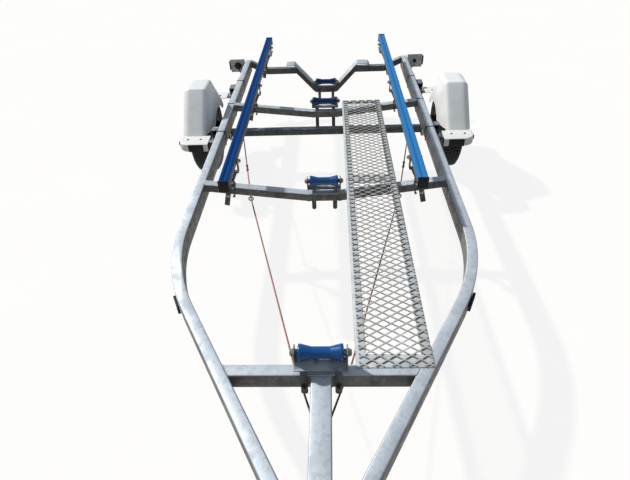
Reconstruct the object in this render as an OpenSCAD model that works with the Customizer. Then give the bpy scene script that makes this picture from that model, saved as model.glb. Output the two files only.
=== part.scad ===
// Braked boat trailer with one axle, parked on its jockey wheel.
// The origin is on the ground, midway along and midway across the trailer.
// The towing end is at -Y, the rear at +Y, and +Z is up.

/* [Overall] */
// Length from the coupling's nose to the rear ends of the rails
overall_l = 5400; // [5000:10:6600]
// Width across the outer faces of the two rails
frame_w = 1476; // [1360:2:1800]
// Height of the frame's top above the ground
frame_z = 497; // [480:1:600]

/* [Rails] */
// Width of a rail's section
rail_w = 50; // [40:1:60]
// Height of a rail's section
rail_h = 100; // [80:1:125]
// Wall of the rails and the drawbar
rail_wall = 4; // [3:0.5:6]
// Distance from the rear end to where a rail's two straight lines would meet
shoulder_back = 2843; // [2500:1:3100]
// Angle of the rails' front legs to the trailer's length
leg_angle = 30.3; // [26:0.1:34]
// Radius of the rail's bend, on its centre line
bend_r = 1095; // [800:5:1300]

/* [Drawbar and coupling] */
// Side of the square drawbar
bar_w = 75; // [65:1:100]
// Radius of the ball socket
socket_r = 25.2; // [24:0.1:26]
// Depth of the socket below the ball's centre
socket_depth = 25; // [20:1:30]
// Length of drawbar inside the coupling's sleeve
sleeve_l = 150; // [120:5:200]
// Distance from the nose to the end of the drawbar
coupling_l = 250; // [220:5:320]

/* [Crossmembers] */
// Side of the square crossmember tube
cross_w = 50; // [40:1:60]
// Wall of the crossmembers
cross_wall = 3; // [2:0.5:5]
// Height of the front crossmember's section
front_cross_h = 75; // [60:1:90]
// Distance from the rear end to the front crossmember's front face
front_cross_back = 3436; // [3300:1:3550]
// Distance from the rear end to the second crossmember's front face
second_cross_back = 2140; // [1900:1:2300]
// Distance from the rear end to the third crossmember's front face
third_cross_back = 1020; // [950:1:1100]
// Dip of the second crossmember at its middle
second_dip = 80; // [50:1:100]
// Dip of the third crossmember at its middle
third_dip = 68; // [50:1:100]
// Drop of the rear crossmember's shoulders
rear_shoulder_drop = 70; // [60:1:100]
// Drop of the rear crossmember's bottom
rear_drop = 254; // [220:1:280]

/* [Wheels and axle] */
// Rolling radius of the tyres
wheel_r = 290; // [270:1:310]
// Width of the tyres
tyre_w = 157; // [145:1:165]
// Radius at which the tyre sits on its rim
bead_r = 168; // [150:1:175]
// Distance from a rail's outer face to the tyre's middle
wheel_out = 183; // [176:1:210]
// Distance from the rear end to the axle
axle_back = 1056; // [1000:1:1150]
// Side of the square axle beam
axle_w = 50; // [40:1:50]
// Radius of the stub axles
stub_r = 20; // [16:0.5:22]
// Radial clearance of every turning fit
run_gap = 0.05; // [0.02:0.01:0.09]
// Radius of the brake discs
disc_r = 114; // [100:1:120]

/* [Springs] */
// Width of the leaf springs
leaf_w = 45; // [40:1:50]
// Thickness of one leaf
leaf_t = 7; // [5:0.5:8]
// Distance from a rail's outer face to the spring's middle
spring_out = 30; // [28:1:34]

/* [Guards] */
// Width of a wheel guard
guard_w = 210; // [205:1:225]
// Distance from a rail's outer face to a guard's inner side
guard_out = 68; // [66:1:72]
// Height of a guard's top above the axle
guard_top = 387; // [370:1:420]
// Thickness of the guards
guard_t = 5; // [3:0.5:8]

/* [Skids and rollers] */
// Distance from the trailer's middle to the middle of a skid
skid_x = 495; // [420:1:560]
// Height of the skids' top above the frame's top
skid_rise = 206; // [180:1:260]
// Length of a skid
skid_l = 2400; // [2350:10:2450]
// Distance from the rear end to a skid's rear end
skid_back = 50; // [20:5:90]
// Width of a skid's strip
skid_w = 50; // [40:1:60]
// Length of the front and second keel rollers
roller_l = 164; // [150:1:174]
// Length of the third and rear keel rollers
rear_roller_l = 184; // [176:1:230]
// Radius of a keel roller at its ends
roller_r = 32; // [28:0.5:40]
// Radius of a keel roller at its middle
roller_waist_r = 22; // [18:0.5:27]
// Radius of the keel rollers' pins
roller_pin_r = 8.5; // [7:0.5:10]

/* [Walkway] */
// Distance from the trailer's middle to the walkway's inner edge
walk_x = 127; // [120:1:180]
// Width of the walkway
walk_w = 283; // [240:1:300]
// Upright leg of the walkway's angle frame
angle_leg = 25; // [20:1:27]
// Flat leg of the walkway's angle frame
flange_w = 40; // [30:1:46]
// Thickness of the walkway's angle frame
angle_t = 3; // [2:0.5:4]

/* [Winch post] */
// Distance from the nose to the winch post's middle
post_front = 800; // [760:5:900]
// Height of the winch post above the frame's top
post_h = 560; // [450:5:650]
// Side of the winch post's square tube
post_w = 50; // [40:1:60]

/* [Jockey wheel] */
// Distance from the nose to the jockey stand
jockey_front = 450; // [430:5:470]
// Radius of the jockey wheel
jockey_r = 100; // [90:1:110]
// Width of the jockey wheel
jockey_w = 44; // [36:1:46]
// Distance from the swivel to the jockey wheel's axle
jockey_trail = 35; // [30:1:45]
// Outer radius of the sliding leg
jockey_leg_r = 20; // [18:0.5:21]
// Wall of the jockey stand's outer tube
jockey_wall = 4; // [3:0.5:5]
// Travel of the sliding leg
jockey_travel = 185; // [150:5:190]

/* [Hidden] */
$fn = 48;

galvanised = "#b9bdbf";
dark_steel = "#8d9294";
blue = "#1d4fae";
white_plastic = "#e9e8e3";
black = "#1b1b1d";
cable_brown = "#6b3a2c";
zinc = "#b59a55";

cut = 1; // how far a cutting shape runs past what it cuts

// Stations along the trailer
rear_y = overall_l / 2;
nose_y = -overall_l / 2;
shoulder_y = rear_y - shoulder_back;
front_cross_y = rear_y - front_cross_back;
second_cross_y = rear_y - second_cross_back;
third_cross_y = rear_y - third_cross_back;
rear_cross_y = rear_y - cross_w;
axle_y = rear_y - axle_back;
post_y = nose_y + post_front;
jockey_y = nose_y + jockey_front;
bar_end_y = nose_y + coupling_l;

// Stations across the trailer
rail_in = frame_w / 2 - rail_w;
rail_mid = frame_w / 2 - rail_w / 2;
rail_out = frame_w / 2;
wheel_x = rail_out + wheel_out;
spring_x = rail_out + spring_out;
guard_x = rail_out + guard_out;

// Where the inner face of a rail's front leg stands, at a given y
function leg_inner_x(y) =
    rail_mid - (shoulder_y - y) * tan(leg_angle) - rail_w / 2 / cos(leg_angle);

// Vectors and paths in a plane
function unit(v) = v / norm(v);
function left_of(v) = [-v.y, v.x];
function turn(a, b) = atan2(a.x * b.y - a.y * b.x, a * b);
function spun(v, t) = [v.x * cos(t) - v.y * sin(t), v.x * sin(t) + v.y * cos(t)];
function reversed(p) = [for (i = [len(p) - 1:-1:0]) p[i]];
function mirrored(p) = [for (q = reversed(p)) [-q.x, q.y]];

// The corner at b, between a and c, turned into an arc of radius r with n chords
function round_corner(a, b, c, r, n) =
    let (u = unit(a - b), v = unit(c - b), half = acos(u * v) / 2,
        middle = b + unit(u + v) * r / sin(half),
        first = b + u * r / tan(half) - middle,
        last = b + v * r / tan(half) - middle)
    [for (k = [0:n]) middle + spun(first, turn(first, last) * k / n)];
function rounded(p, r, n = 6) =
    [p[0], for (i = [1:len(p) - 2]) each round_corner(p[i - 1], p[i], p[i + 1], r, n), p[len(p) - 1]];

// A path moved sideways by d, with mitred corners
function side_step(p, i) =
    let (before = left_of(unit(p[max(i, 1)] - p[max(i, 1) - 1])),
        after = left_of(unit(p[min(i, len(p) - 2) + 1] - p[min(i, len(p) - 2)])),
        middle = unit(before + after))
    middle / (middle * before);
function moved(p, d) = [for (i = [0:len(p) - 1]) p[i] + d * side_step(p, i)];
module strip(p, w) polygon(concat(moved(p, w / 2), reversed(moved(p, -w / 2))));

// Placing helpers
module both_sides() { children(); mirror([1, 0, 0]) children(); }
module on_side(side) mirror([side < 0 ? 1 : 0, 0, 0]) children();
module along_x(x0, x1) translate([x0, 0, 0]) rotate([90, 0, 90]) linear_extrude(x1 - x0) children();
module along_y(y0, y1) translate([0, y1, 0]) rotate([90, 0, 0]) linear_extrude(y1 - y0) children();
module box(x, y, z) translate([x[0], y[0], z[0]]) cube([x[1] - x[0], y[1] - y[0], z[1] - z[0]]);
module disc_x(x0, x1, r) translate([x0, 0, 0]) rotate([0, 90, 0]) cylinder(h = x1 - x0, r = r);
module rod(a, b, r) {
    d = b - a;
    translate(a) rotate([0, acos(d.z / norm(d)), atan2(d.y, d.x)]) cylinder(h = norm(d), r = r, $fn = 24);
}

// ---- Frame ----

// The right rail's centre line, from the rear end to the drawbar
rail_path = rounded([[rail_mid, rear_y + cut], [rail_mid, shoulder_y],
    [0, shoulder_y - rail_mid / tan(leg_angle)]], bend_r, 16);
module rail(side) {
    color(galvanised) on_side(side) difference() {
        translate([0, 0, frame_z - rail_h]) linear_extrude(rail_h) strip(rail_path, rail_w);
        translate([0, 0, frame_z - rail_h + rail_wall])
            linear_extrude(rail_h - 2 * rail_wall) strip(rail_path, rail_w - 2 * rail_wall);
        box([-rail_mid, bar_w / 2], [nose_y, shoulder_y], [0, frame_z + cut]);
        box([rail_in - cut, rail_out + cut], [rear_y, rear_y + 2 * cut], [0, frame_z + cut]);
    }
}

module drawbar() {
    color(galvanised) difference() {
        box([-bar_w / 2, bar_w / 2], [bar_end_y, front_cross_y], [frame_z - bar_w, frame_z]);
        box([-bar_w / 2 + rail_wall, bar_w / 2 - rail_wall], [bar_end_y - cut, front_cross_y + cut],
            [frame_z - bar_w + rail_wall, frame_z - rail_wall]);
    }
}

module front_crossmember() {
    back_y = front_cross_y + cross_w;
    color(galvanised) difference() {
        translate([0, 0, frame_z - front_cross_h]) linear_extrude(front_cross_h) polygon([
            [-leg_inner_x(front_cross_y), front_cross_y], [leg_inner_x(front_cross_y), front_cross_y],
            [leg_inner_x(back_y), back_y], [-leg_inner_x(back_y), back_y]]);
        box([-rail_in, rail_in], [front_cross_y + cross_wall, back_y - cross_wall],
            [frame_z - front_cross_h + cross_wall, frame_z - cross_wall]);
    }
}

// A square tube bent in the X-Z plane; the path is its centre line's right half, from the middle out
function both_halves(half_path, r) = rounded(concat(mirrored(half_path), half_path), r);
module bent_cross(half_path, r, y) {
    path = both_halves(half_path, r);
    color(galvanised) difference() {
        along_y(y, y + cross_w) intersection() {
            strip(path, cross_w);
            translate([-rail_in, 0]) square([2 * rail_in, frame_z]);
        }
        along_y(y + cross_wall, y + cross_w - cross_wall) strip(path, cross_w - 2 * cross_wall);
    }
}
cross_mid_z = frame_z - cross_w / 2;
dip_flat = 90; // half of the flat stretch at the bottom of a dipped crossmember
module dipped_cross(dip, y) bent_cross(
    [[dip_flat, cross_mid_z - dip], [rail_in, cross_mid_z], [rail_in + 2 * cross_w, cross_mid_z]], 120, y);
module second_crossmember() dipped_cross(second_dip, second_cross_y);
module third_crossmember() dipped_cross(third_dip, third_cross_y);

// The rear crossmember: shoulders, then 45 degree sides down to a flat bottom
keel_flat = 90; // half of the flat bottom
shoulder_in = keel_flat + (rear_drop - rear_shoulder_drop) * 0.92;
rear_half_path = [[keel_flat, cross_mid_z - rear_drop],
    [shoulder_in, cross_mid_z - rear_shoulder_drop],
    [rail_in - 150, cross_mid_z - rear_shoulder_drop],
    [rail_in, cross_mid_z], [rail_in + 2 * cross_w, cross_mid_z]];
rear_bend_r = cross_w / 2 + 5;
module rear_crossmember() bent_cross(rear_half_path, rear_bend_r, rear_cross_y);

// Two bent plates on the rear crossmember's slopes, which guide the keel down to the rear roller
wing_t = 6;
wing_from = 80; // where a wing starts up the slope, clear of the roller
wing_to = 320;  // where it bends outward
module keel_guide_wings() {
    slope = unit([shoulder_in - keel_flat, rear_drop - rear_shoulder_drop]);
    foot = [keel_flat, cross_mid_z - rear_drop] + (cross_w + wing_t) / 2 * left_of(slope);
    top = foot + slope * wing_to;
    tips = [[top + [60, -2], top + [72, -4]], [top + [92, -4], top + [112, -26]]];
    color(galvanised) for (i = [0, 1]) on_side(i == 0 ? -1 : 1) along_y(rear_y - 105, rear_y - 5)
        strip(rounded([foot + slope * wing_from, top, tips[i][0], tips[i][1]], 14, 3), wing_t);
}

// ---- Axle, wheels and brakes ----

beam_half = wheel_x - 110; // half length of the axle beam
module axle_beam() {
    stub_end = wheel_x + 48;
    color(galvanised) {
        difference() {
            box([-beam_half, beam_half], [axle_y - axle_w / 2, axle_y + axle_w / 2],
                [wheel_r - axle_w / 2, wheel_r + axle_w / 2]);
            translate([0, axle_y, wheel_r]) both_sides() disc_x(beam_half - 60, beam_half + cut, stub_r);
        }
        translate([0, axle_y, wheel_r]) both_sides() disc_x(beam_half - 60, stub_end, stub_r);
    }
}

module at_wheel(side) on_side(side) translate([wheel_x, axle_y, wheel_r]) children();

rim_half = tyre_w / 2 - 22; // half width between the rim's flanges
flange_h = 10;
flange_t = 6;
disc_face = 10; // where the wheel's disc bolts on, outside the tyre's middle
module tyre(side) {
    half = tyre_w / 2;
    profile = [[bead_r, rim_half], [bead_r + flange_h, rim_half], [bead_r + flange_h, rim_half + flange_t],
        [bead_r + 18, half - 8], [wheel_r - 58, half], [wheel_r - 30, half - 6],
        [wheel_r - 9, half - 20], [wheel_r - 1.5, half - 40], [wheel_r, 0]];
    below = [for (q = reversed(profile)) if (q.y > 0) [q.x, -q.y]];
    color(black) at_wheel(side) rotate([0, 90, 0])
        rotate_extrude($fn = 96) polygon(concat(profile, below));
}

module rim(side) {
    barrel_t = 6;
    color(galvanised) at_wheel(side) difference() {
        union() {
            difference() {
                union() {
                    disc_x(-rim_half, rim_half, bead_r);
                    for (x = [-rim_half - flange_t, rim_half]) disc_x(x, x + flange_t, bead_r + flange_h);
                }
                disc_x(-rim_half - flange_t - cut, rim_half + flange_t + cut, bead_r - barrel_t);
            }
            disc_x(disc_face, disc_face + 6, bead_r - barrel_t);
        }
        disc_x(disc_face - cut, disc_face + 7, 34);
        for (a = [0:72:359]) rotate([a, 0, 0]) translate([0, 57, 0])
            disc_x(disc_face - cut, disc_face + 7, 7);
        for (a = [0:45:359]) rotate([a, 0, 0]) translate([0, 118, 0])
            disc_x(disc_face - cut, disc_face + 7, 17);
    }
}

module hub(side) {
    color(dark_steel) at_wheel(side) difference() {
        union() {
            disc_x(-72, disc_face, 38);
            disc_x(disc_face - 10, disc_face, 76);
            disc_x(disc_face, 78, 30);
            disc_x(-60, -50, disc_r);
            for (a = [0:72:359]) rotate([a, 0, 0]) translate([0, 57, 0]) {
                disc_x(0, disc_face + 24, 6);
                disc_x(disc_face + 6, disc_face + 18, 10);
            }
        }
        disc_x(-73, 49, stub_r + run_gap);
        disc_x(48, 72, 24);
    }
}

// Calipers behind the axle, bolted to plates on the beam's ends
module brake_calipers() {
    color(dark_steel) both_sides() translate([wheel_x, axle_y, wheel_r]) difference() {
        union() {
            box([-92, -30], [68, 142], [-38, 38]);
            box([-102, -92], [-35, 142], [-45, 45]);
        }
        box([-66, -44], [0, disc_r + 8], [-60, 60]);
        disc_x(-110, -80, stub_r);
    }
}

// ---- Springs ----

seat_z = wheel_r + axle_w / 2;
leaf_count = 4;
stack_z = seat_z + leaf_count * leaf_t;
eye_y = -300;     // front eye, measured from the axle
slipper_y = 520;  // rear end, measured from the axle
end_rise = 58;
function leaf_rise(y) = end_rise * pow(y / (y < 0 ? eye_y : slipper_y), 2);
module leaf(k, a, b) translate([0, axle_y, stack_z - (k + 0.5) * leaf_t])
    along_x(spring_x - leaf_w / 2, spring_x + leaf_w / 2)
        strip([for (i = [0:16]) let (y = a + (b - a) * i / 16) [y, leaf_rise(y)]], leaf_t);
eye_r = 15;
hanger_pin_r = 7.5;
eye_z = stack_z - leaf_t / 2 + end_rise;
module springs() {
    color(dark_steel) both_sides() difference() {
        union() {
            for (k = [0:leaf_count - 1]) leaf(k, eye_y * (1 - 0.22 * k), slipper_y * (1 - 0.22 * k));
            translate([0, axle_y + eye_y, eye_z]) disc_x(spring_x - leaf_w / 2, spring_x + leaf_w / 2, eye_r);
        }
        translate([0, axle_y + eye_y, eye_z]) disc_x(0, 2 * spring_x, hanger_pin_r + 0.5);
    }
}

// U-bolts that hold each spring down on the axle
module spring_clamps() {
    bolt_r = 6;
    reach_x = leaf_w / 2 + bolt_r + 0.5;
    reach_y = axle_w / 2 + bolt_r + 0.5;
    plate_z = wheel_r - axle_w / 2;
    pad_half = reach_y + 12;
    pad_z = stack_z + leaf_rise(-pad_half);
    color(zinc) both_sides() translate([spring_x, axle_y, 0]) {
        for (y = [-reach_y, reach_y]) {
            for (x = [-reach_x, reach_x]) translate([x, y, plate_z - 22])
                cylinder(h = stack_z - plate_z + 32, r = bolt_r);
            translate([0, y, stack_z + 10]) disc_x(-reach_x - bolt_r, reach_x + bolt_r, bolt_r);
        }
        difference() {
            box([-reach_x - 12, reach_x + 12], [-pad_half, pad_half], [plate_z - 8, plate_z]);
            for (x = [-reach_x, reach_x], y = [-reach_y, reach_y])
                translate([x, y, plate_z - 10]) cylinder(h = 12, r = bolt_r);
        }
        box([-leaf_w / 2, leaf_w / 2], [-pad_half, pad_half], [pad_z, pad_z + 6]);
    }
}

// Folded hangers on the rails' outer faces, one at each end of each spring
module hanger(y, pin_z, half_l) {
    outer = spring_x + leaf_w / 2 + 2;
    difference() {
        box([rail_out, outer + 5], [y - half_l, y + half_l], [pin_z - 22, frame_z - 28]);
        box([rail_out + 2, outer], [y - half_l - cut, y + half_l + cut], [pin_z - 23, frame_z - 34]);
        translate([0, y, pin_z]) disc_x(rail_out - cut, outer + 6, hanger_pin_r);
    }
    translate([0, y, pin_z]) disc_x(rail_out, outer + 10, hanger_pin_r);
}
module spring_hangers() color(galvanised) both_sides() {
    hanger(axle_y + eye_y, eye_z, 28);
    hanger(axle_y + slipper_y - 30, eye_z - 28, 45);
}

// ---- Brake cables ----

cable_r = 3;
cable_z = frame_z - 150;
anchor_z = frame_z - bar_w - 16;
guide_x = 27; // where the cables run under the drawbar
cable_points = [
    [beam_half - 10, axle_y + 105, wheel_r - 30],
    [rail_out - 78, axle_y - 10, wheel_r - 40],
    [rail_out - 134, axle_y - 194, cable_z - 20],
    [444, second_cross_y + 70, cable_z],
    [116, front_cross_y + 156, cable_z],
    [79, front_cross_y + 49, cable_z + 10],
    [guide_x, front_cross_y - 130, anchor_z],
    [guide_x, nose_y + 480, anchor_z]];
module brake_cables() {
    color(cable_brown) both_sides() {
        for (i = [1:len(cable_points) - 1]) {
            rod(cable_points[i - 1], cable_points[i], cable_r);
            translate(cable_points[i]) sphere(r = cable_r, $fn = 24);
        }
        a = cable_points[2];
        b = cable_points[3];
        rod(a + (b - a) * 0.49, a + (b - a) * 0.57, 8);
    }
}

// Rings that carry the cables under the second crossmember and under the drawbar
module ring(at) translate(at) rotate([90, 0, 0]) rotate_extrude()
    translate([13, 0]) circle(r = 3.5, $fn = 24);
module cable_guides() color(dark_steel) {
    both_sides() {
        at = cable_points[3];
        top = cross_mid_z - cross_w / 2 - second_dip * (rail_in - at.x) / (rail_in - dip_flat);
        ring(at);
        rod([at.x, at.y, at.z + 14], [at.x, at.y, top - 12], 3.5);
        box([at.x - 14, at.x + 14], [second_cross_y + cross_w, at.y + 5], [top - 16, top + 14]);
    }
    for (y = [front_cross_y - 400, post_y - 130]) difference() {
        box([-guide_x - 10, guide_x + 10], [y, y + 6], [anchor_z - 14, frame_z - bar_w]);
        for (x = [-guide_x, guide_x]) translate([x, y - cut, anchor_z]) rotate([-90, 0, 0])
            cylinder(h = 8, r = 7);
    }
}

// ---- Guards ----

guard_rise = 137;      // the foot steps' height above the axle
arch_foot = 344;       // half length of the arch at its foot
arch_flat = 94;        // half length of the flat top
step_l = 120;
lip_h = 50;
inner_round = 18;
outer_round = 45;
inner_opening = 255;   // radius of the opening in the inner side
outer_opening = 300;   // radius of the opening in the outer side
arch = [[-arch_foot, guard_rise], [-arch_flat, guard_top], [arch_flat, guard_top], [arch_foot, guard_rise]];
// The arch's outline with its foot lines carried on below the steps
module arch_outline(inset) offset(delta = -inset, $fn = 12)
    polygon([arch[0] + 1.5 * (arch[0] - arch[1]), arch[1], arch[2], arch[3] + 1.5 * (arch[3] - arch[2])]);
module arch_block(skin) {
    steps = 5;
    hull() for (k = [0:steps]) {
        inward = 1 - cos(90 * k / steps);
        sink = 1 - sin(90 * k / steps);
        along_x(skin + inner_round * inward, guard_w - skin - outer_round * inward)
            arch_outline(skin + inner_round * sink);
    }
}
module guard(side) {
    color(white_plastic) on_side(side) translate([guard_x, axle_y, wheel_r]) {
        difference() {
            arch_block(0);
            arch_block(guard_t);
            box([-cut, guard_w + cut], [-900, 900], [-900, guard_rise]);
            disc_x(-cut, guard_w / 2, inner_opening);
            disc_x(guard_w / 2, guard_w + cut, outer_opening);
        }
        for (flip = [0, 1]) mirror([0, flip, 0]) along_x(0, guard_w) strip(rounded(
            [[arch_foot + step_l, guard_rise - lip_h], [arch_foot + step_l, guard_rise + guard_t / 2],
            [arch_foot - guard_t, guard_rise + guard_t / 2]], 12, 4), guard_t);
    }
}

// Flat bars that carry each guard from the rail, in front of and behind the wheel
module guard_brackets() {
    step_z = wheel_r + guard_rise;
    color(galvanised) both_sides() for (flip = [-1, 1]) {
        y = axle_y + flip * (arch_foot + step_l / 2);
        box([rail_out, guard_x + guard_w - 40], [y - 20, y + 20], [step_z - 6, step_z]);
        box([rail_out, rail_out + 6], [y - 20, y + 20], [step_z - 6, frame_z - 20]);
    }
}

// ---- Skids ----

skid_top = frame_z + skid_rise;
strip_h = 34;
beam_h = 48;
skid_y = [rear_y - skid_back - skid_l, rear_y - skid_back];
// For each skid bracket: its crossmember's front face, its bolt's y, its arm's lower end from the frame's top
skid_stations = [[second_cross_y, second_cross_y - 16, -140], [third_cross_y, third_cross_y - 40, -125],
    [rear_cross_y, rear_cross_y - 135, -150]];
module skid_strips() {
    side_w = 6;
    color(blue) both_sides() translate([skid_x, 0, skid_top])
    along_y(skid_y[0] + 8, skid_y[1] - 8) difference() {
        translate([-skid_w / 2, -strip_h]) square([skid_w, strip_h]);
        translate([-5, -3]) square([10, 4]);
        translate([-skid_w / 2 + side_w, -strip_h - cut]) square([skid_w - 2 * side_w, strip_h - 14 + cut]);
    }
}
beam_w = skid_w - 12;
skid_bolt_z = skid_top - beam_h;
skid_bolt_r = 6;
module skid_beams() color(galvanised) both_sides() difference() {
    translate([skid_x, 0, skid_top - 14]) along_y(skid_y[0] + 12, skid_y[1] - 12) difference() {
        translate([-beam_w / 2, -beam_h]) square([beam_w, beam_h]);
        translate([-beam_w / 2 + 3, -beam_h - cut]) square([beam_w - 6, beam_h - 3 + cut]);
    }
    for (s = skid_stations) translate([skid_x, s[1], skid_bolt_z]) disc_x(-skid_w, skid_w, skid_bolt_r);
}
module skid_caps() color(black) both_sides() for (end = [0, 1]) {
    y = skid_y[end];
    inward = end == 0 ? 1 : -1;
    mirror([0, end, 0]) box([skid_x - skid_w / 2 - 2, skid_x + skid_w / 2 + 2], [inward * y, inward * y + 8],
        [skid_top - 14 - beam_h, skid_top + 2]);
}
// A leaning arm on each crossmember's front face, and a fork on top whose bolt carries the beam
arm_w = 30;
arm_t = 10;
ear_t = 5;
// The arm's line, across from skid_x and up from the frame's top
arm_lean = [[-8, 108], [52, -20], [80, -140]];
module skid_brackets() {
    fork_z = frame_z + 95;
    ear_in = beam_w / 2 + 0.5;
    color(galvanised) both_sides() for (s = skid_stations) translate([skid_x, 0, 0]) {
        front = s[1] - 18;
        for (x = [-ear_in - ear_t, ear_in]) difference() {
            box([x, x + ear_t], [front, s[1] + 16], [fork_z, skid_top - strip_h - 2]);
            translate([0, s[1], skid_bolt_z]) disc_x(x - cut, x + ear_t + cut, skid_bolt_r);
        }
        box([-ear_in - ear_t, ear_in + ear_t], [front, s[0]], [fork_z - 6, fork_z]);
        along_y(s[0] - arm_t, s[0]) intersection() {
            translate([0, frame_z]) strip([arm_lean[0], arm_lean[1], [arm_lean[2].x, s[2]]], arm_w);
            translate([-skid_w, frame_z - rail_h - 100]) square([200, fork_z - frame_z + rail_h + 100]);
        }
        translate([0, s[1], skid_bolt_z]) {
            disc_x(-beam_w / 2 - 22, beam_w / 2 + 22, skid_bolt_r);
            for (x = [-ear_in - ear_t - 11, ear_in + ear_t]) disc_x(x, x + 11, 10);
        }
    }
}

// ---- Keel rollers ----

// For each roller: its axle's y and height above the frame's top, its length, the stems' y, and how
// far below the frame's top they end
keel_stations = [
    [front_cross_y + 41, 78, roller_l, front_cross_y - 8, front_cross_h + 28],
    [second_cross_y + cross_w / 2, 73 - second_dip, roller_l, second_cross_y + cross_w, 222],
    [third_cross_y + cross_w / 2, 70 - third_dip, rear_roller_l, third_cross_y + cross_w, 230],
    [rear_cross_y + 5, 50 - rear_drop, rear_roller_l, rear_cross_y - 8, 375]];
bracket_half = 92; // half of the room between a roller bracket's ears
module keel_roller(i) {
    s = keel_stations[i];
    half = s[2] / 2;
    sag = roller_r - roller_waist_r;
    curve = [for (k = [-10:10]) [roller_waist_r + sag * pow(abs(k) / 10, 2), (half - 8) * k / 10]];
    color(blue) translate([0, s[0], frame_z + s[1]]) rotate([0, 90, 0]) rotate_extrude($fn = 64)
        polygon(concat(
        [[roller_pin_r + run_gap, -half], [roller_r - 5, -half], [roller_r, -half + 5]], curve,
        [[roller_r, half - 5], [roller_r - 5, half], [roller_pin_r + run_gap, half]]));
}
module roller_brackets() color(galvanised) difference() {
    for (s = keel_stations) roller_bracket(s);
    // The rear bracket is cut to sit over the rear crossmember's slopes
    along_y(rear_cross_y, rear_y) strip(both_halves(rear_half_path, rear_bend_r), cross_w);
}
module roller_bracket(s) {
    ear_in = max(bracket_half, s[2] / 2 + 2);
    ear_out = ear_in + ear_t;
    axle_z = frame_z + s[1];
    base_z = axle_z - roller_r - 8;
    stem_end_r = 13;
    stem_low = frame_z - s[4] + stem_end_r;
    both_sides() {
        difference() {
            box([ear_in, ear_out], [s[0] - 22, s[0] + 22], [base_z - ear_t, axle_z + 20]);
            translate([0, s[0], axle_z]) disc_x(ear_in - cut, ear_out + cut, roller_pin_r);
        }
        translate([50 + stem_end_r, 0, 0]) {
            box([-stem_end_r, stem_end_r], [s[3], s[3] + 8], [stem_low, base_z]);
            translate([0, s[3] + 8, stem_low]) rotate([90, 0, 0]) cylinder(h = 8, r = stem_end_r);
        }
        translate([0, s[0], axle_z]) {
            disc_x(ear_out, ear_out + 8, 14);
            if (s[2] / 2 + 4 < ear_in) disc_x(s[2] / 2 + 1, ear_in, 13);
        }
    }
    box([-ear_out, ear_out], [min(s[0] - 22, s[3]), max(s[0] + 22, s[3] + 8)], [base_z - ear_t, base_z]);
    translate([0, s[0], axle_z]) disc_x(-ear_out - 14, ear_out + 14, roller_pin_r);
}

// ---- Walkway ----

walk_gap = 2;
panels = [[front_cross_y + cross_w, second_cross_y + cross_w / 2 - walk_gap],
    [second_cross_y + cross_w / 2 + walk_gap, third_cross_y + 20]];
front_lap = 19; // how far the walkway reaches over the front crossmember
walk_out = walk_x + walk_w;
module walkway_frame() {
    color(galvanised) difference() {
        union() {
            for (y = panels) walkway_panel(y);
            box([walk_x, walk_out], [panels[0][0] - front_lap, panels[0][0]], [frame_z, frame_z + angle_t]);
        }
        translate([0, 0, frame_z - rail_h]) linear_extrude(rail_h) strip(rail_path, rail_w);
    }
}
module walkway_panel(y) {
    difference() {
        box([walk_x, walk_out], y, [frame_z - angle_leg + angle_t, frame_z + angle_t]);
        box([walk_x + angle_t, walk_out - angle_t], [y[0] + angle_t, y[1] - angle_t],
            [frame_z - angle_leg, frame_z]);
        box([walk_x + flange_w, walk_out - flange_w], [y[0] + flange_w, y[1] - flange_w],
            [frame_z - angle_leg, frame_z + angle_t + cut]);
    }
    box([walk_x, walk_x + 34], [y[1] - 48, y[1] - 42], [frame_z - 64, frame_z - angle_leg + angle_t]);
}
module walkway_mesh() color(galvanised) for (y = panels)
    box([walk_x + 4, walk_out - 4], [y[0] + 4, y[1] - 4], [frame_z + angle_t, frame_z + angle_t + 3]);

// ---- Winch post ----

post_top = frame_z + post_h;
module winch_post() {
    half = post_w / 2;
    color(galvanised) {
        difference() {
            box([-half, half], [post_y - half, post_y + half], [frame_z + 8, post_top]);
            box([-half + 3, half - 3], [post_y - half + 3, post_y + half - 3], [frame_z + 7, post_top + cut]);
        }
        box([-bar_w / 2 - 6, bar_w / 2 + 6], [post_y - 90, post_y + 90], [frame_z, frame_z + 8]);
        translate([0, post_y - half, frame_z + 8]) along_x(-4, 4) polygon([[0, 0], [-63, 0], [0, 182]]);
        for (y = [post_y - 70, post_y + 70]) {
            for (side = [-1, 1]) on_side(side)
                box([bar_w / 2, bar_w / 2 + 6], [y - 10, y + 10], [frame_z - bar_w - 6, frame_z]);
            box([-bar_w / 2 - 6, bar_w / 2 + 6], [y - 10, y + 10], [frame_z - bar_w - 6, frame_z - bar_w]);
        }
    }
}
winch_z = post_top - 210;
module winch() {
    half = post_w / 2;
    y = post_y + half;
    axis_y = y + 52;
    color(dark_steel) {
        box([-48, 48], [y, y + 5], [winch_z - 50, winch_z + 60]);
        for (x = [-48, 43]) box([x, x + 5], [y, y + 100], [winch_z - 45, winch_z + 45]);
        translate([0, axis_y, winch_z]) {
            disc_x(-43, 43, 18);
            disc_x(-43, -39, 40);
            disc_x(39, 43, 40);
            disc_x(48, 72, 9);
            disc_x(58, 66, 14);
        }
        box([66, 72], [axis_y - 12, axis_y + 12], [winch_z - 190, winch_z + 14]);
        translate([0, axis_y, winch_z - 178]) disc_x(72, 160, 14);
    }
}
module bow_stop() {
    half = post_w / 2;
    arm_z = post_top - 30;
    color(blue) translate([0, post_y + half + 120, 0]) along_v_block(arm_z);
    color(galvanised) {
        box([-half - 6, -half], [post_y - 30, post_y + half + 130], [arm_z - 25, arm_z + 25]);
        box([half, half + 6], [post_y - 30, post_y + half + 130], [arm_z - 25, arm_z + 25]);
        translate([0, post_y + half + 115, arm_z]) disc_x(-half - 12, half + 12, 8);
    }
}
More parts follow.
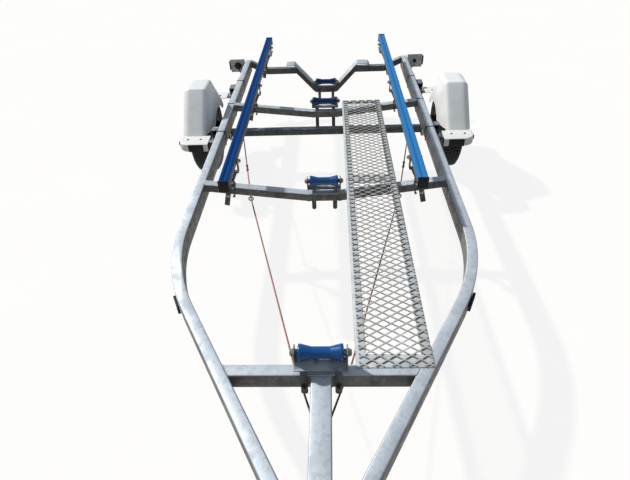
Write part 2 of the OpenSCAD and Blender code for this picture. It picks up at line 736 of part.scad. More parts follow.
// A block with a V in its rear face, where the bow comes to rest
module along_v_block(z) difference() {
    translate([0, 0, z - 55]) linear_extrude(110)
        polygon([[-24, -70], [24, -70], [24, 10], [62, 60], [34, 62],
            [0, 12], [-34, 62], [-62, 60], [-24, 10]]);
    translate([0, -5, z]) disc_x(-100, 100, 8);
}

// ---- Coupling ----

ball_z = frame_z - bar_w / 2 - 8;
nose_r = 38;
socket_y = nose_y + nose_r;
module coupling() {
    wall = 7;
    gap = 0.5;
    outer = bar_w / 2 + gap + wall;
    mid_z = frame_z - bar_w / 2;
    color(dark_steel) difference() {
        union() {
            box([-outer, outer], [bar_end_y - 40, bar_end_y + sleeve_l], [mid_z - outer, mid_z + outer]);
            hull() {
                box([-outer, outer], [bar_end_y - 40, bar_end_y - 20], [mid_z - outer, mid_z + outer]);
                translate([0, socket_y, ball_z - socket_depth]) cylinder(h = 72, r = nose_r, $fn = 32);
            }
            translate([0, socket_y, ball_z]) cylinder(h = 62, r = 14);
            translate([0, socket_y, ball_z]) along_x(-9, 9) strip([[0, 58], [70, 82], [150, 70]], 12);
        }
        box([-bar_w / 2 - gap, bar_w / 2 + gap], [bar_end_y - gap, bar_end_y + sleeve_l + cut],
            [mid_z - bar_w / 2 - gap, mid_z + bar_w / 2 + gap]);
        translate([0, socket_y, ball_z]) sphere(r = socket_r);
        translate([0, socket_y, ball_z - 2 * socket_depth]) cylinder(h = 2 * socket_depth, r = socket_r);
    }
}
module handbrake_lever() {
    x = bar_w / 2 + 8;
    y = bar_end_y + 60;
    z = frame_z - 10;
    color(dark_steel) {
        translate([0, y, z]) {
            along_x(x, x + 6) polygon([[-60, -40], [60, -40], [60, 60], [20, 75], [-60, 20]]);
            along_x(x + 6, x + 12) strip([[-20, -20], [20, 80], [90, 250]], 26);
        }
        rod([x + 3, y + 84, z + 236], [x + 3, y + 128, z + 342], 13);
        translate([0, y - 20, z - 20]) disc_x(x, x + 18, 9);
    }
}

// ---- Lamps ----

lamp_x = [rail_out, rail_out + 132];
lamp_z = [frame_z - 85, frame_z + 28];
lamp_y = rear_y - 62;
plate_t = 4;
module lamp_brackets() color(galvanised) both_sides() {
    box(lamp_x, [lamp_y, lamp_y + plate_t], lamp_z);
    box([rail_out, rail_out + plate_t], [lamp_y - 50, lamp_y], [lamp_z[0], frame_z - 10]);
}
module tail_lamps() color("#8e1a17") both_sides() {
    box([lamp_x[0] + 4, lamp_x[1] + 14], [lamp_y + plate_t, lamp_y + plate_t + 32],
        [lamp_z[0] + 16, lamp_z[1] - 12]);
    translate([(lamp_x[0] + lamp_x[1]) / 2, lamp_y, (lamp_z[0] + lamp_z[1]) / 2]) rotate([90, 0, 0])
        cylinder(h = 22, r = 22);
}

marker_angle = 26; // where the side markers sit round the rails' bends
module side_markers() {
    pivot = [rail_mid - bend_r, shoulder_y + bend_r * tan(leg_angle / 2)];
    color(black) both_sides() translate([pivot.x, pivot.y, frame_z - 62]) rotate([0, 0, -marker_angle])
        translate([bend_r + rail_w / 2 + 1, -42, 0]) cube([12, 84, 36]);
}

// ---- Jockey wheel ----

jockey_tube_r = jockey_leg_r + run_gap + jockey_wall;
clamp_t = 8;
saddle_gap = 8;
saddle_t = 8;
jockey_x = -(bar_w / 2 + clamp_t + saddle_gap + saddle_t + jockey_tube_r);
pivot_z = frame_z - bar_w / 2;
pivot_r = 12;
fork_top = 2 * jockey_r + 17;
leg_low = fork_top + 2;
leg_l = 440;
tube_low = fork_top + jockey_travel + 13;
tube_l = 490;
module jockey_clamp() {
    pin_end = bar_w / 2 + clamp_t + saddle_gap + saddle_t - 1;
    color(dark_steel) mirror([1, 0, 0]) {
        box([bar_w / 2, bar_w / 2 + clamp_t], [jockey_y - 46, jockey_y + 46],
            [frame_z - bar_w - 20, frame_z + 20]);
        for (z = [frame_z, frame_z - bar_w - 6])
            box([-bar_w / 2 - 6, bar_w / 2], [jockey_y - 40, jockey_y + 40], [z, z + 6]);
        translate([0, jockey_y, pivot_z]) disc_x(bar_w / 2 + clamp_t, pin_end, pivot_r);
    }
}
module jockey_tube() {
    saddle_x = -(bar_w / 2 + clamp_t + saddle_gap + saddle_t);
    top = tube_low + tube_l;
    color(galvanised) {
        difference() {
            union() {
                translate([jockey_x, jockey_y, tube_low]) cylinder(h = tube_l, r = jockey_tube_r);
                box([saddle_x, saddle_x + saddle_t], [jockey_y - 28, jockey_y + 28],
                    [pivot_z - 34, pivot_z + 34]);
                box([jockey_x, saddle_x], [jockey_y - 16, jockey_y + 16], [pivot_z - 34, pivot_z + 34]);
            }
            translate([jockey_x, jockey_y, tube_low - cut])
                cylinder(h = tube_l - 11, r = jockey_leg_r + run_gap);
            translate([0, jockey_y, pivot_z]) disc_x(saddle_x, saddle_x + saddle_t + cut, pivot_r + run_gap);
        }
        translate([jockey_x, jockey_y, top]) cylinder(h = 34, r = 9);
        box([jockey_x - 12, jockey_x + 12], [jockey_y - 12, jockey_y + 130], [top + 22, top + 30]);
        translate([jockey_x, jockey_y + 116, top + 30]) cylinder(h = 70, r = 13);
    }
}
module jockey_leg() {
    color(galvanised) translate([jockey_x, jockey_y, 0]) {
        difference() {
            translate([0, 0, leg_low]) cylinder(h = leg_l, r = jockey_leg_r);
            translate([0, 0, leg_low + 12]) cylinder(h = leg_l, r = jockey_leg_r - 4);
        }
        translate([0, 0, fork_top - 12]) cylinder(h = 14, r = 10);
    }
}
module jockey_fork() {
    cheek = jockey_w / 2 + 5;
    color(galvanised) translate([jockey_x, jockey_y, 0]) {
        difference() {
            box([-cheek - 5, cheek + 5], [-28, 28], [fork_top - 10, fork_top]);
            translate([0, 0, fork_top - 11]) cylinder(h = 12, r = 10 + run_gap);
        }
        for (x = [-cheek - 5, cheek]) along_x(x, x + 5) difference() {
            hull() {
                translate([-28, fork_top - 10]) square([56, 2]);
                translate([-jockey_trail, jockey_r]) circle(r = 16);
            }
            translate([-jockey_trail, jockey_r]) circle(r = 6);
        }
        translate([0, -jockey_trail, jockey_r]) disc_x(-cheek - 11, cheek + 11, 6);
    }
}
module jockey_wheel() {
    half = jockey_w / 2;
    r = jockey_r;
    profile = [[6 + run_gap, half], [20, half], [22, half - 6], [58, half - 8], [64, half - 2],
        [r - 14, half], [r - 4, half - 8], [r, half - 18]];
    below = [for (q = reversed(profile)) [q.x, -q.y]];
    color(black) translate([jockey_x, jockey_y - jockey_trail, jockey_r]) rotate([0, 90, 0])
        rotate_extrude($fn = 72) polygon(concat(profile, below));
}

rail(-1);  // rail_left
rail(1);  // rail_right
drawbar();
front_crossmember();
second_crossmember();
third_crossmember();
rear_crossmember();
keel_guide_wings();
axle_beam();
springs();
spring_clamps();
spring_hangers();
brake_calipers();
brake_cables();
cable_guides();
guard(-1);  // guard_left
guard(1);  // guard_right
guard_brackets();
skid_strips();
skid_beams();
skid_caps();
skid_brackets();
roller_brackets();
walkway_frame();
walkway_mesh();
winch_post();
winch();
bow_stop();
coupling();
handbrake_lever();
lamp_brackets();
tail_lamps();
side_markers();
jockey_clamp();
tyre(-1);  // tyre_left
tyre(1);  // tyre_right
rim(-1);  // rim_left
rim(1);  // rim_right
hub(-1);  // hub_left
hub(1);  // hub_right
keel_roller(0);  // keel_roller_front
keel_roller(1);  // keel_roller_second
keel_roller(2);  // keel_roller_third
keel_roller(3);  // keel_roller_rear
jockey_tube();
jockey_leg();
jockey_fork();
jockey_wheel();
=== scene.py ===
# %% [markdown]
# # A braked boat trailer, finished in Blender
# The trailer's bones, which are its tubes, plates, wheels and joints, come from a CAD model that is
# already the right size. This lesson dresses those bones: it rounds the edges of the steel, bolts and
# welds the joints, weaves the walkway, treads the tyres, and paints every surface.
# The first cell loads the frame. Nothing that follows may grow out of it.

# %% Load the frame
import math

import bmesh
import bpy
from mathutils import Matrix, Vector
from mathutils.bvhtree import BVHTree


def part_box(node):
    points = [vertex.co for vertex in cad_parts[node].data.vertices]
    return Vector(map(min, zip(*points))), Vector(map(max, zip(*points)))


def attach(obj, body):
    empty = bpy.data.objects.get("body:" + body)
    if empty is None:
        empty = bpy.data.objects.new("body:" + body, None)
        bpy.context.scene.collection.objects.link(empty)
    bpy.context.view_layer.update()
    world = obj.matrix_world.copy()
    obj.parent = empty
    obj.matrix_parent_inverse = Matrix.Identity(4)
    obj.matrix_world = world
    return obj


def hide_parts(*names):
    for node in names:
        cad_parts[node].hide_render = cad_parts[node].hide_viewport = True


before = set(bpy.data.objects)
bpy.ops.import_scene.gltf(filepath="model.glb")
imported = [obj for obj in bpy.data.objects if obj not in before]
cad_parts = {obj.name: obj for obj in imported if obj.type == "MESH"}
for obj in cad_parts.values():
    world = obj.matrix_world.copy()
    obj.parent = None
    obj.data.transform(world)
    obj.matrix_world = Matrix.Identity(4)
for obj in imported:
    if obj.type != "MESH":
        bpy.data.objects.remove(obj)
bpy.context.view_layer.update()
print("CAD nodes:", len(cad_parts))

# %% [markdown]
# ## Measures taken from the frame
# A fitter measures the trailer before cutting anything. The main sizes are read here from the boxes of the
# CAD pieces. Metres are the unit, and `mm` keeps small sizes readable. -Y is the towing end, +X the right
# side and +Z up.

# %% Measures
mm = 0.001
UP, AHEAD, RIGHT = Vector((0, 0, 1)), Vector((0, -1, 0)), Vector((1, 0, 0))


def low(node):
    return Vector(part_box(node)[0])


def high(node):
    return Vector(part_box(node)[1])


def middle(node):
    return (low(node) + high(node)) / 2


rear_y = high("rail_right").y
top_z = high("rail_right").z
rail_out = high("rail_right").x
rail_w = 50 * mm
rail_in = rail_out - rail_w
hub_at = middle("tyre_right")
tyre_r = high("tyre_right").z - hub_at.z
tyre_w = high("tyre_right").x - low("tyre_right").x
skid_x = high("skid_strips").x - 25 * mm
post_at = middle("winch_post")
print("top of the frame", round(top_z, 3), "tyre radius", round(tyre_r, 3), "skids at", round(skid_x, 3))

# %% [markdown]
# ## Shader arithmetic written as Python
# A finish is mostly arithmetic: a mask times a colour, one minus a scratch. Wiring Math nodes by hand is
# slow to read, so `Socket` wraps one output of a node and lets `+`, `-` and `*` add the Math nodes.
# `Paint` is a material in the making. Its `node` method adds any node: settings first, then sockets.

# %% Socket and Paint
class Socket:
    """One output of a shader node that adds, subtracts and multiplies like a number."""

    def __init__(self, paint, output):
        self.paint = paint
        self.output = output

    def maths(self, operation, first, second):
        return self.paint.node("ShaderNodeMath", {"operation": operation}, {0: first, 1: second})

    def __add__(self, other):
        return self.maths("ADD", self, other)

    __radd__ = __add__

    def __sub__(self, other):
        return self.maths("SUBTRACT", self, other)

    def __rsub__(self, other):
        return self.maths("SUBTRACT", other, self)

    def __mul__(self, other):
        return self.maths("MULTIPLY", self, other)

    __rmul__ = __mul__


class Paint:
    """A material in the making."""

    def __init__(self, name):
        self.material = bpy.data.materials.new(name)
        self.material.use_nodes = True
        self.tree = self.material.node_tree
        self.tree.nodes.clear()

    def node(self, kind, settings=None, sockets=None, output=0):
        """Adds a node of this kind, with its settings first and its sockets after them."""
        made = self.tree.nodes.new(kind)
        for name, value in (settings or {}).items():
            setattr(made, name, value)
        by_name = {socket.name: socket for socket in reversed(made.inputs)}
        by_name.update({socket.identifier: socket for socket in made.inputs})
        for key, value in (sockets or {}).items():
            socket = made.inputs[key] if isinstance(key, int) else by_name[key]
            if isinstance(value, Socket):
                self.tree.links.new(value.output, socket)
            else:
                socket.default_value = value
        outputs = {socket.identifier: socket for socket in made.outputs}
        return Socket(self, made.outputs[output] if isinstance(output, int) else outputs[output])

    def place(self, stretch=(1, 1, 1)):
        """Where on the trailer a point is, so that patterns keep their real size."""
        at = self.node("ShaderNodeTexCoord", output="Object")
        return self.node("ShaderNodeVectorMath", {"operation": "MULTIPLY"}, {0: at, 1: stretch})

    def axis(self, vector, letter):
        return self.node("ShaderNodeSeparateXYZ", sockets={0: vector}, output=letter)

    def facing(self, letter):
        """How far the surface turns to +X, +Y or +Z, from -1 to 1."""
        return self.axis(self.node("ShaderNodeTexCoord", output="Normal"), letter)

    def cloud(self, size, detail=4.0, rough=0.55, stretch=(1, 1, 1)):
        """Soft noise whose patches measure about `size` metres."""
        return self.node("ShaderNodeTexNoise", None, {
            "Vector": self.place(stretch), "Scale": 0.5 / size, "Detail": detail, "Roughness": rough})

    def between(self, value, start, end):
        """0 below start, 1 above end and smooth in between."""
        return self.node("ShaderNodeMapRange", {"interpolation_type": "SMOOTHSTEP"}, {
            "Value": value, "From Min": start, "From Max": end})

    def patches(self, start, end, *noise):
        """A mask of soft-edged patches, where a cloud of this noise is high."""
        return self.between(self.cloud(*noise), start, end)

    def colour(self, first, second, mask):
        return self.node("ShaderNodeMix", {"data_type": "RGBA"}, {
            "Factor_Float": mask, "A_Color": first, "B_Color": second}, "Result_Color")

    def bump(self, height, depth, onto=None):
        sockets = {"Height": height, "Distance": depth, "Strength": 1.0}
        if onto:
            sockets["Normal"] = onto
        return self.node("ShaderNodeBump", None, sockets)

    def finish(self, **sockets):
        """Ends in one shader. Underscores in a name stand for the spaces of the socket's name."""
        named = {key.replace("_", " "): value for key, value in sockets.items()}
        shader = self.node("ShaderNodeBsdfPrincipled", None, named)
        self.node_out(shader)
        return self.material

    def node_out(self, shader):
        end = self.tree.nodes.new("ShaderNodeOutputMaterial")
        self.tree.links.new(shader.output, end.inputs["Surface"])


def grey(value):
    return (value, value, value, 1)


# %% [markdown]
# ## Hot-dip galvanised steel
# The frame was dipped whole in molten zinc. The coat freezes in flat crystals called spangle, dries in
# clouds, and weathers into dark blotches and streaks of road dust. On top of that the colour carries
# painted light: faces that turn up are painted pale, as if in sun, and faces that turn aside are painted
# dark grey, as if in shade. The shader tells a top from a side by the surface's own direction and mixes the
# layers. One function makes several strengths of the coat.

# %% Galvanised finish
# The first colour is the painted shade of faces that turn aside, the second the painted sun of faces that
# turn up.
def zinc_coat(name, side=(0.16, 0.155, 0.14, 1), pale=(0.54, 0.585, 0.63, 1), film=1.0):
    """Weathered zinc with painted light: pale where it faces up, as if in sun, and painted dark grey with
    dust streaks where it faces aside, as if in shade.
    """
    paint = Paint(name)
    crystals = paint.node("ShaderNodeTexVoronoi", None, {
        "Vector": paint.place(), "Scale": 70.0}, output="Color")
    spangle = paint.axis(crystals, "X") - 0.5
    clouds = paint.cloud(0.07, 5.0, 0.6)
    blotches = paint.patches(0.50, 0.62, 0.035, 3.0, 0.55, (1, 0.8, 1))
    streaks = paint.patches(0.42, 0.70, 0.012, 4.0, 0.6, (1, 1, 0.06))
    # Painted light: how far a face turns up, from the painted shade of the sides to the painted sun of the
    # tops.
    painted_sun_share = paint.between(paint.facing("Z"), 0.1, 0.8)
    # The painted sunlit top colour, with real blotches, clouds and spangle mixed in.
    fresh = paint.colour(pale, (0.44, 0.48, 0.53, 1), blotches * 0.55)
    fresh = paint.colour(fresh, (0.80, 0.84, 0.88, 1), paint.between(clouds, 0.52, 0.72) * 0.6)
    fresh = paint.colour(fresh, grey(0.3), paint.between(spangle, 0.1, 0.5) * 0.16)
    # The painted shaded side colour, with real dust streaks, dark blotches and spangle mixed in.
    painted_shade_zinc = paint.colour(side, (0.24, 0.22, 0.18, 1), streaks * 0.55 * film)
    painted_shade_zinc = paint.colour(painted_shade_zinc, (0.08, 0.08, 0.08, 1), blotches * 0.4)
    painted_shade_zinc = paint.colour(painted_shade_zinc, grey(0.28), paint.between(spangle, 0.2, 0.5) * 0.15)
    height = spangle * 0.3 + clouds + paint.cloud(0.004, 2.0) * 0.35
    return paint.finish(
        Base_Color=paint.colour(painted_shade_zinc, fresh, painted_sun_share),
        Metallic=0.18 + 0.1 * painted_sun_share,
        Roughness=0.62 - 0.14 * paint.between(spangle, 0.0, 0.5) + 0.1 * blotches - 0.06 * painted_sun_share,
        Normal=paint.bump(height, 0.0006))


# Copies of the coat with other painted light: the second is painted darker, as if in shade, the third and
# fourth are painted brighter, as if lit, and the last, for the walkway strands, is painted darker for the
# shade among them.
galvanised = zinc_coat("galvanised_coat")
galvanised_shade = zinc_coat("galvanised_painted_shade", (0.07, 0.072, 0.072, 1), (0.19, 0.215, 0.24, 1), 0.5)
galvanised_painted_light = zinc_coat("galvanised_painted_light", (0.25, 0.25, 0.24, 1), (0.60, 0.62, 0.63, 1), 0.6)
galvanised_painted_lighter = zinc_coat("galvanised_painted_lighter", (0.50, 0.50, 0.48, 1), (0.70, 0.72, 0.73, 1), 0.4)
galvanised_mesh_painted_shade = zinc_coat("galvanised_mesh_painted_shade", (0.085, 0.08, 0.07, 1), (0.45, 0.435, 0.39, 1), 0.5)
print("galvanised finishes:", galvanised.name, galvanised_shade.name, galvanised_painted_light.name)

# %% [markdown]
# ## Darker steels and plated bolts
# Springs, brakes, the coupling and the winch are dark steel with a little brown rust in the corners.
# Bolts are zinc plated and passivated, which leaves a yellow, slightly rainbow skin. Cloudy noise picks
# where rust has started, and a fine noise roughens it there.

# %% Dark steel and plated bolts
def dark_steel_finish(name, base, rust_share):
    paint = Paint(name)
    clouds = paint.cloud(0.03, 6.0, 0.65)
    rust = paint.between(clouds, 0.62 - rust_share, 0.78 - rust_share)
    fine = paint.cloud(0.0025, 3.0)
    tone = paint.colour(base, (0.16, 0.16, 0.165, 1), paint.between(fine, 0.5, 0.7) * 0.5)
    return paint.finish(
        Base_Color=paint.colour(tone, (0.17, 0.075, 0.035, 1), rust * (0.4 + 0.5 * fine)),
        Metallic=0.45 - 0.4 * rust,
        Roughness=0.42 + 0.4 * rust + 0.1 * clouds,
        Normal=paint.bump(fine + rust, 0.0004))


def plated_finish():
    paint = Paint("yellow_zinc_plate")
    sheen = paint.cloud(0.008, 2.0)
    tone = paint.colour((0.46, 0.36, 0.17, 1), (0.40, 0.42, 0.36, 1), paint.between(sheen, 0.4, 0.65))
    worn = paint.patches(0.58, 0.7, 0.004, 5.0, 0.7)
    return paint.finish(
        Base_Color=paint.colour(tone, (0.13, 0.10, 0.07, 1), worn * 0.6),
        Metallic=0.7 - 0.4 * worn, Roughness=0.34 + 0.3 * worn,
        Normal=paint.bump(sheen + worn, 0.0002))


dark_steel = dark_steel_finish("dark_steel", (0.075, 0.078, 0.082, 1), 0.06)
spring_steel = dark_steel_finish("spring_steel", (0.045, 0.045, 0.048, 1), 0.14)
zinc_plate = plated_finish()
print("steels:", dark_steel.name, spring_steel.name, zinc_plate.name)

# %% [markdown]
# ## Plastics and rubber
# The skids are extruded blue polyethylene: waxy, with faint lines along the extrusion and a chalky bloom
# on top. The keel rollers are moulded in a glossier blue. The wheel guards are white moulded plastic
# with an orange-peel skin that picks up dust low down. Tyres and caps are black rubber, dusty and dull.

# %% Plastic finishes
def skid_finish():
    """Extruded plastic, painted darker on the left skid and lighter on the right for the different light on
    them, with sides painted towards one middle blue for the light they catch.
    """
    paint = Paint("blue_skid_plastic")
    lines = paint.cloud(0.002, 3.0, 0.6, (1, 0.01, 1))
    scuffs = paint.patches(0.58, 0.75, 0.02, 5.0, 0.7, (1, 0.25, 1))
    # Painted shade and light: the left skid is painted darker, the right one lighter.
    right = paint.between(paint.axis(paint.place(), "X"), -0.05, 0.05)
    tone = paint.colour((0.0, 0.040, 0.18, 1), (0.03, 0.19, 0.46, 1), right)
    # Painted light on the sides: faces that turn aside are drawn towards one middle blue.
    aside = 1 - paint.between(paint.facing("Z"), 0.3, 0.9)
    tone = paint.colour(tone, (0.03, 0.15, 0.36, 1), aside * 0.4)
    return paint.finish(
        Base_Color=paint.colour(tone, (0.04, 0.18, 0.42, 1), scuffs * 0.2 + lines * 0.05),
        Roughness=0.40 + 0.2 * scuffs + 0.12 * lines, Specular_IOR_Level=0.05,
        Normal=paint.bump(lines + scuffs * 0.3, 0.0003))


def moulded_finish(name, deep, faded, rough, shine=0.5):
    """Moulded plastic or polyurethane with a fine skin and scuffs."""
    paint = Paint(name)
    scuffs = paint.patches(0.56, 0.72, 0.012, 6.0, 0.7)
    skin = paint.cloud(0.0012, 2.0)
    clouds = paint.cloud(0.05, 3.0)
    tone = paint.colour(deep, faded, scuffs * 0.45 + paint.between(clouds, 0.45, 0.75) * 0.3)
    return paint.finish(
        Base_Color=tone, Roughness=rough + 0.22 * scuffs + 0.08 * clouds, Specular_IOR_Level=shine,
        Normal=paint.bump(skin * 0.4 + scuffs * 0.6, 0.00035))


def guard_finish():
    paint = Paint("white_guard_plastic")
    skin = paint.cloud(0.003, 2.0, 0.4)
    dust = paint.cloud(0.05, 6.0, 0.62)
    height = paint.axis(paint.place(), "Z")
    splash = paint.between(dust - height * 0.9, -0.12, 0.12)
    under = 1 - paint.between(paint.facing("Z"), -0.6, 0.2)
    tone = paint.colour((0.90, 0.90, 0.885, 1), (0.66, 0.62, 0.54, 1), splash * 0.30 + under * 0.12)
    scratch = paint.patches(0.64, 0.72, 0.01, 5.0, 0.7, (1, 0.15, 1))
    return paint.finish(
        Base_Color=paint.colour(tone, (0.70, 0.71, 0.72, 1), scratch * 0.3),
        Roughness=0.34 + 0.25 * splash + 0.1 * scratch, Coat_Weight=0.1,
        Normal=paint.bump(skin * 0.5 + dust, 0.0007))


def rubber_finish(name, fresh, dusty, dust_share):
    paint = Paint(name)
    dust = paint.patches(0.62 - dust_share, 0.8 - dust_share, 0.03, 6.0, 0.7)
    grain = paint.cloud(0.0015, 3.0)
    return paint.finish(
        Base_Color=paint.colour(fresh, dusty, dust * 0.7 + grain * 0.1),
        Roughness=0.72 + 0.2 * dust, Normal=paint.bump(grain, 0.0003))


blue_skid = skid_finish()
blue_roller = moulded_finish("blue_roller", (0.0005, 0.075, 0.27, 1), (0.004, 0.13, 0.38, 1), 0.25, 0.5)
# The same blue painted darker, in shade, for the two rear rollers.
blue_shaded = moulded_finish("blue_roller_painted_shade", (0.0003, 0.028, 0.115, 1), (0.002, 0.05, 0.17, 1), 0.25, 0.3)
guard_white = guard_finish()
black_plastic = moulded_finish("black_plastic", (0.006, 0.006, 0.007, 1), (0.02, 0.02, 0.02, 1), 0.45, 0.25)
tyre_rubber = rubber_finish("tyre_rubber", (0.014, 0.014, 0.013, 1), (0.085, 0.075, 0.06, 1), 0.10)
jockey_rubber = rubber_finish("jockey_rubber", (0.018, 0.018, 0.018, 1), (0.09, 0.08, 0.07, 1), 0.04)
print("plastics and rubbers ready")

# %% [markdown]
# ## Cable sleeve and lamp lenses
# Each brake cable is bare red-brown plastic sleeve near the wheels and is coloured darker towards the
# drawbar, ahead of the front crossmember, so its colour changes along Y. Lamp lenses are red plastic
# moulded with small prisms, which a grid of bumps stands in for.

# %% Cable and lens finishes
def sleeve_finish(dark_from):
    paint = Paint("cable_sleeve")
    along = paint.axis(paint.place(), "Y")
    # Darker ahead of the front crossmember, towards the drawbar.
    darker_ahead = 1 - paint.between(along + paint.cloud(0.05) * 0.1, dark_from - 0.1, dark_from + 0.15)
    fine = paint.cloud(0.003, 4.0)
    tone = paint.colour((0.30, 0.085, 0.06, 1), (0.40, 0.20, 0.15, 1), paint.between(fine, 0.45, 0.6))
    return paint.finish(
        Base_Color=paint.colour(tone, (0.075, 0.06, 0.055, 1), darker_ahead * 0.8),
        Roughness=0.5 + 0.2 * darker_ahead, Normal=paint.bump(fine, 0.0002))


def lens_finish(name, colour, deep):
    paint = Paint(name)
    prisms = paint.node("ShaderNodeTexVoronoi", {"distance": "CHEBYCHEV"}, {
        "Vector": paint.place(), "Scale": 160.0, "Randomness": 0.0}, output="Distance")
    return paint.finish(
        Base_Color=paint.colour(deep, colour, paint.between(prisms, 0.1, 0.5)),
        Roughness=0.16 + 0.1 * prisms, Coat_Weight=0.4,
        Normal=paint.bump(prisms, 0.0008))


cable_sleeve = sleeve_finish(middle("front_crossmember").y)
red_lens = lens_finish("red_lens", (0.55, 0.02, 0.015, 1), (0.22, 0.004, 0.004, 1))
amber_lens = lens_finish("amber_lens", (0.75, 0.24, 0.02, 1), (0.35, 0.08, 0.004, 1))
print("cable and lenses ready")

# %% [markdown]
# ## Turning shapes into pieces
# Every piece is drawn in a bmesh, Blender's mesh that Python can edit, straight at its place on the
# trailer. `piece` hands an empty one to a function that draws it, mirrors it if both sides of the trailer
# have it, and makes it an object: it shades gentle angles smooth, gives it its paint, tells the frame which
# body it rides on, and names the CAD nodes it stands for, which are then hidden.

# %% From drawing to piece
SIDES = ("left", "right")


def piece(name, draw, paint, body="chassis", stands_for=(), smooth=38, both=False):
    shape = bmesh.new()
    draw(shape)
    if both:
        mirror(shape)
    bmesh.ops.recalc_face_normals(shape, faces=shape.faces)
    mesh = bpy.data.meshes.new(name)
    shape.to_mesh(mesh)
    shape.free()
    mesh.materials.append(paint)
    mesh.shade_smooth()
    mesh.set_sharp_from_angle(angle=math.radians(smooth))
    made = bpy.data.objects.new(name, mesh)
    bpy.context.scene.collection.objects.link(made)
    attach(made, body)
    if stands_for:
        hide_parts(*stands_for)
    return made


def paint_node(paint, *nodes):
    """A CAD node whose shape is right stays, and only gets its finish."""
    for node in nodes:
        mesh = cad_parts[node].data
        mesh.materials.clear()
        mesh.materials.append(paint)
        mesh.shade_smooth()
        mesh.set_sharp_from_angle(angle=math.radians(35))


# %% [markdown]
# ## Rounding the edges of rolled steel
# Real tube and plate have no knife edges: tube corners are rolled to a radius about twice the wall, and
# zinc softens what is left. A bevel on a copy of the CAD piece gives both. The mesh is cleaned first,
# since a CAD export splits flat faces into triangles, and only edges long enough to take it are bevelled.

# %% Softened copies of CAD pieces
def bevel_sharp(shape, radius, segments, wanted=None, shortest=4):
    """Rounds every sharp edge that is at least `shortest` radii long and that `wanted` accepts."""
    def fits(edge):
        if len(edge.link_faces) != 2 or edge.calc_face_angle() < math.radians(30):
            return False
        if edge.calc_length() < shortest * radius:
            return False
        return wanted is None or wanted(*[vert.co for vert in edge.verts])
    edges = [edge for edge in shape.edges if fits(edge)]
    bmesh.ops.bevel(shape, geom=edges, offset=radius, offset_type="OFFSET", segments=segments,
                    profile=0.5, affect="EDGES", clamp_overlap=False)


def softened(node, paint, radius=1.2 * mm, segments=2, wanted=None, body="chassis", add=None):
    """A copy of a CAD node with rounded edges; `add` may put more on the shape before it is a piece."""
    def draw(shape):
        shape.from_mesh(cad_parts[node].data)
        bmesh.ops.remove_doubles(shape, verts=shape.verts, dist=0.01 * mm)
        bmesh.ops.dissolve_limit(shape, angle_limit=math.radians(0.8), verts=shape.verts, edges=shape.edges)
        bevel_sharp(shape, radius, segments, wanted)
        if add:
            add(shape)

    made = piece(node + "_finished", draw, paint, body, (node,))
    print(f"{node}: {len(made.data.polygons)} faces after rounding")


# %% [markdown]
# ## Lofting, lathing and sweeping
# Nearly every made part is one of three things: a row of outlines joined up (a loft), an outline turned
# round an axle (a lathe), or an outline carried along a path (a sweep). All three are a loft at heart,
# so one function joins rings of points and the other two only place the rings.

# %% Loft, lathe and sweep
def loft(shape, rings, closed=True, caps=True, ring_ends=False):
    """Joins rings of points. `closed` closes each ring, `ring_ends` joins the last ring to the first."""
    rows = [[shape.verts.new(point) for point in ring] for ring in rings]
    count = len(rows[0])
    for one, two in zip(rows, rows[1:] + (rows[:1] if ring_ends else [])):
        for i in range(count if closed else count - 1):
            j = (i + 1) % count
            shape.faces.new((one[i], one[j], two[j], two[i]))
    if caps and closed and not ring_ends:
        shape.faces.new(rows[0][::-1])
        shape.faces.new(rows[-1])
    return rows


def lathe(shape, pairs, centre, turns=48, axle=RIGHT):
    """Turns a closed outline of (radius, along) pairs round an axle through `centre`."""
    side = axle.orthogonal().normalized()
    up = axle.cross(side)
    rings = []
    for k in range(turns):
        angle = 2 * math.pi * k / turns
        spoke = side * math.cos(angle) + up * math.sin(angle)
        rings.append([centre + spoke * radius + axle * along for radius, along in pairs])
    loft(shape, rings, ring_ends=True, caps=False)


def disc_ring(start, along, radius, count=16, flat=False):
    """Points round a circle that faces `along`; `flat` turns a hexagon's flat side up."""
    side = along.orthogonal().normalized()
    up = along.cross(side).normalized()
    turn = math.pi / count if flat else 0
    return [start + radius * (side * math.cos(turn + 2 * math.pi * k / count)
                              + up * math.sin(turn + 2 * math.pi * k / count)) for k in range(count)]


def rod(shape, start, end, radius, count=16, round_end=0.0):
    """A bar from start to end, with its ends chamfered by `round_end`."""
    along = (end - start).normalized()
    stations = [(start, radius), (end, radius)]
    if round_end:
        stations = [(start, radius - round_end), (start + along * round_end, radius),
                    (end - along * round_end, radius), (end, radius - round_end)]
    loft(shape, [disc_ring(at, along, r, count) for at, r in stations])


def sweep(shape, path, radius, count=10, caps=True):
    """A round tube along a path; each ring is turned as little as possible from the one before."""
    rings = []
    side = (path[1] - path[0]).orthogonal().normalized()
    for i, at in enumerate(path):
        along = (path[min(i + 1, len(path) - 1)] - path[max(i - 1, 0)]).normalized()
        side = (side - along * side.dot(along)).normalized()
        up = along.cross(side)
        thick = radius(i / (len(path) - 1)) if callable(radius) else radius
        rings.append([at + thick * (side * math.cos(2 * math.pi * k / count)
                                    + up * math.sin(2 * math.pi * k / count)) for k in range(count)])
    loft(shape, rings, caps=caps)


def smooth_path(points, steps=8):
    """A curve through given points, the way a bent wire runs through its clips."""
    path = []
    for i in range(len(points) - 1):
        before, a = points[max(i - 1, 0)], points[i]
        b, after = points[i + 1], points[min(i + 2, len(points) - 1)]
        for k in range(steps):
            t = k / steps
            path.append(0.5 * (2 * a + (b - before) * t + (2 * before - 5 * a + 4 * b - after) * t ** 2
                               + (3 * a - before - 3 * b + after) * t ** 3))
    return path + [points[-1]]


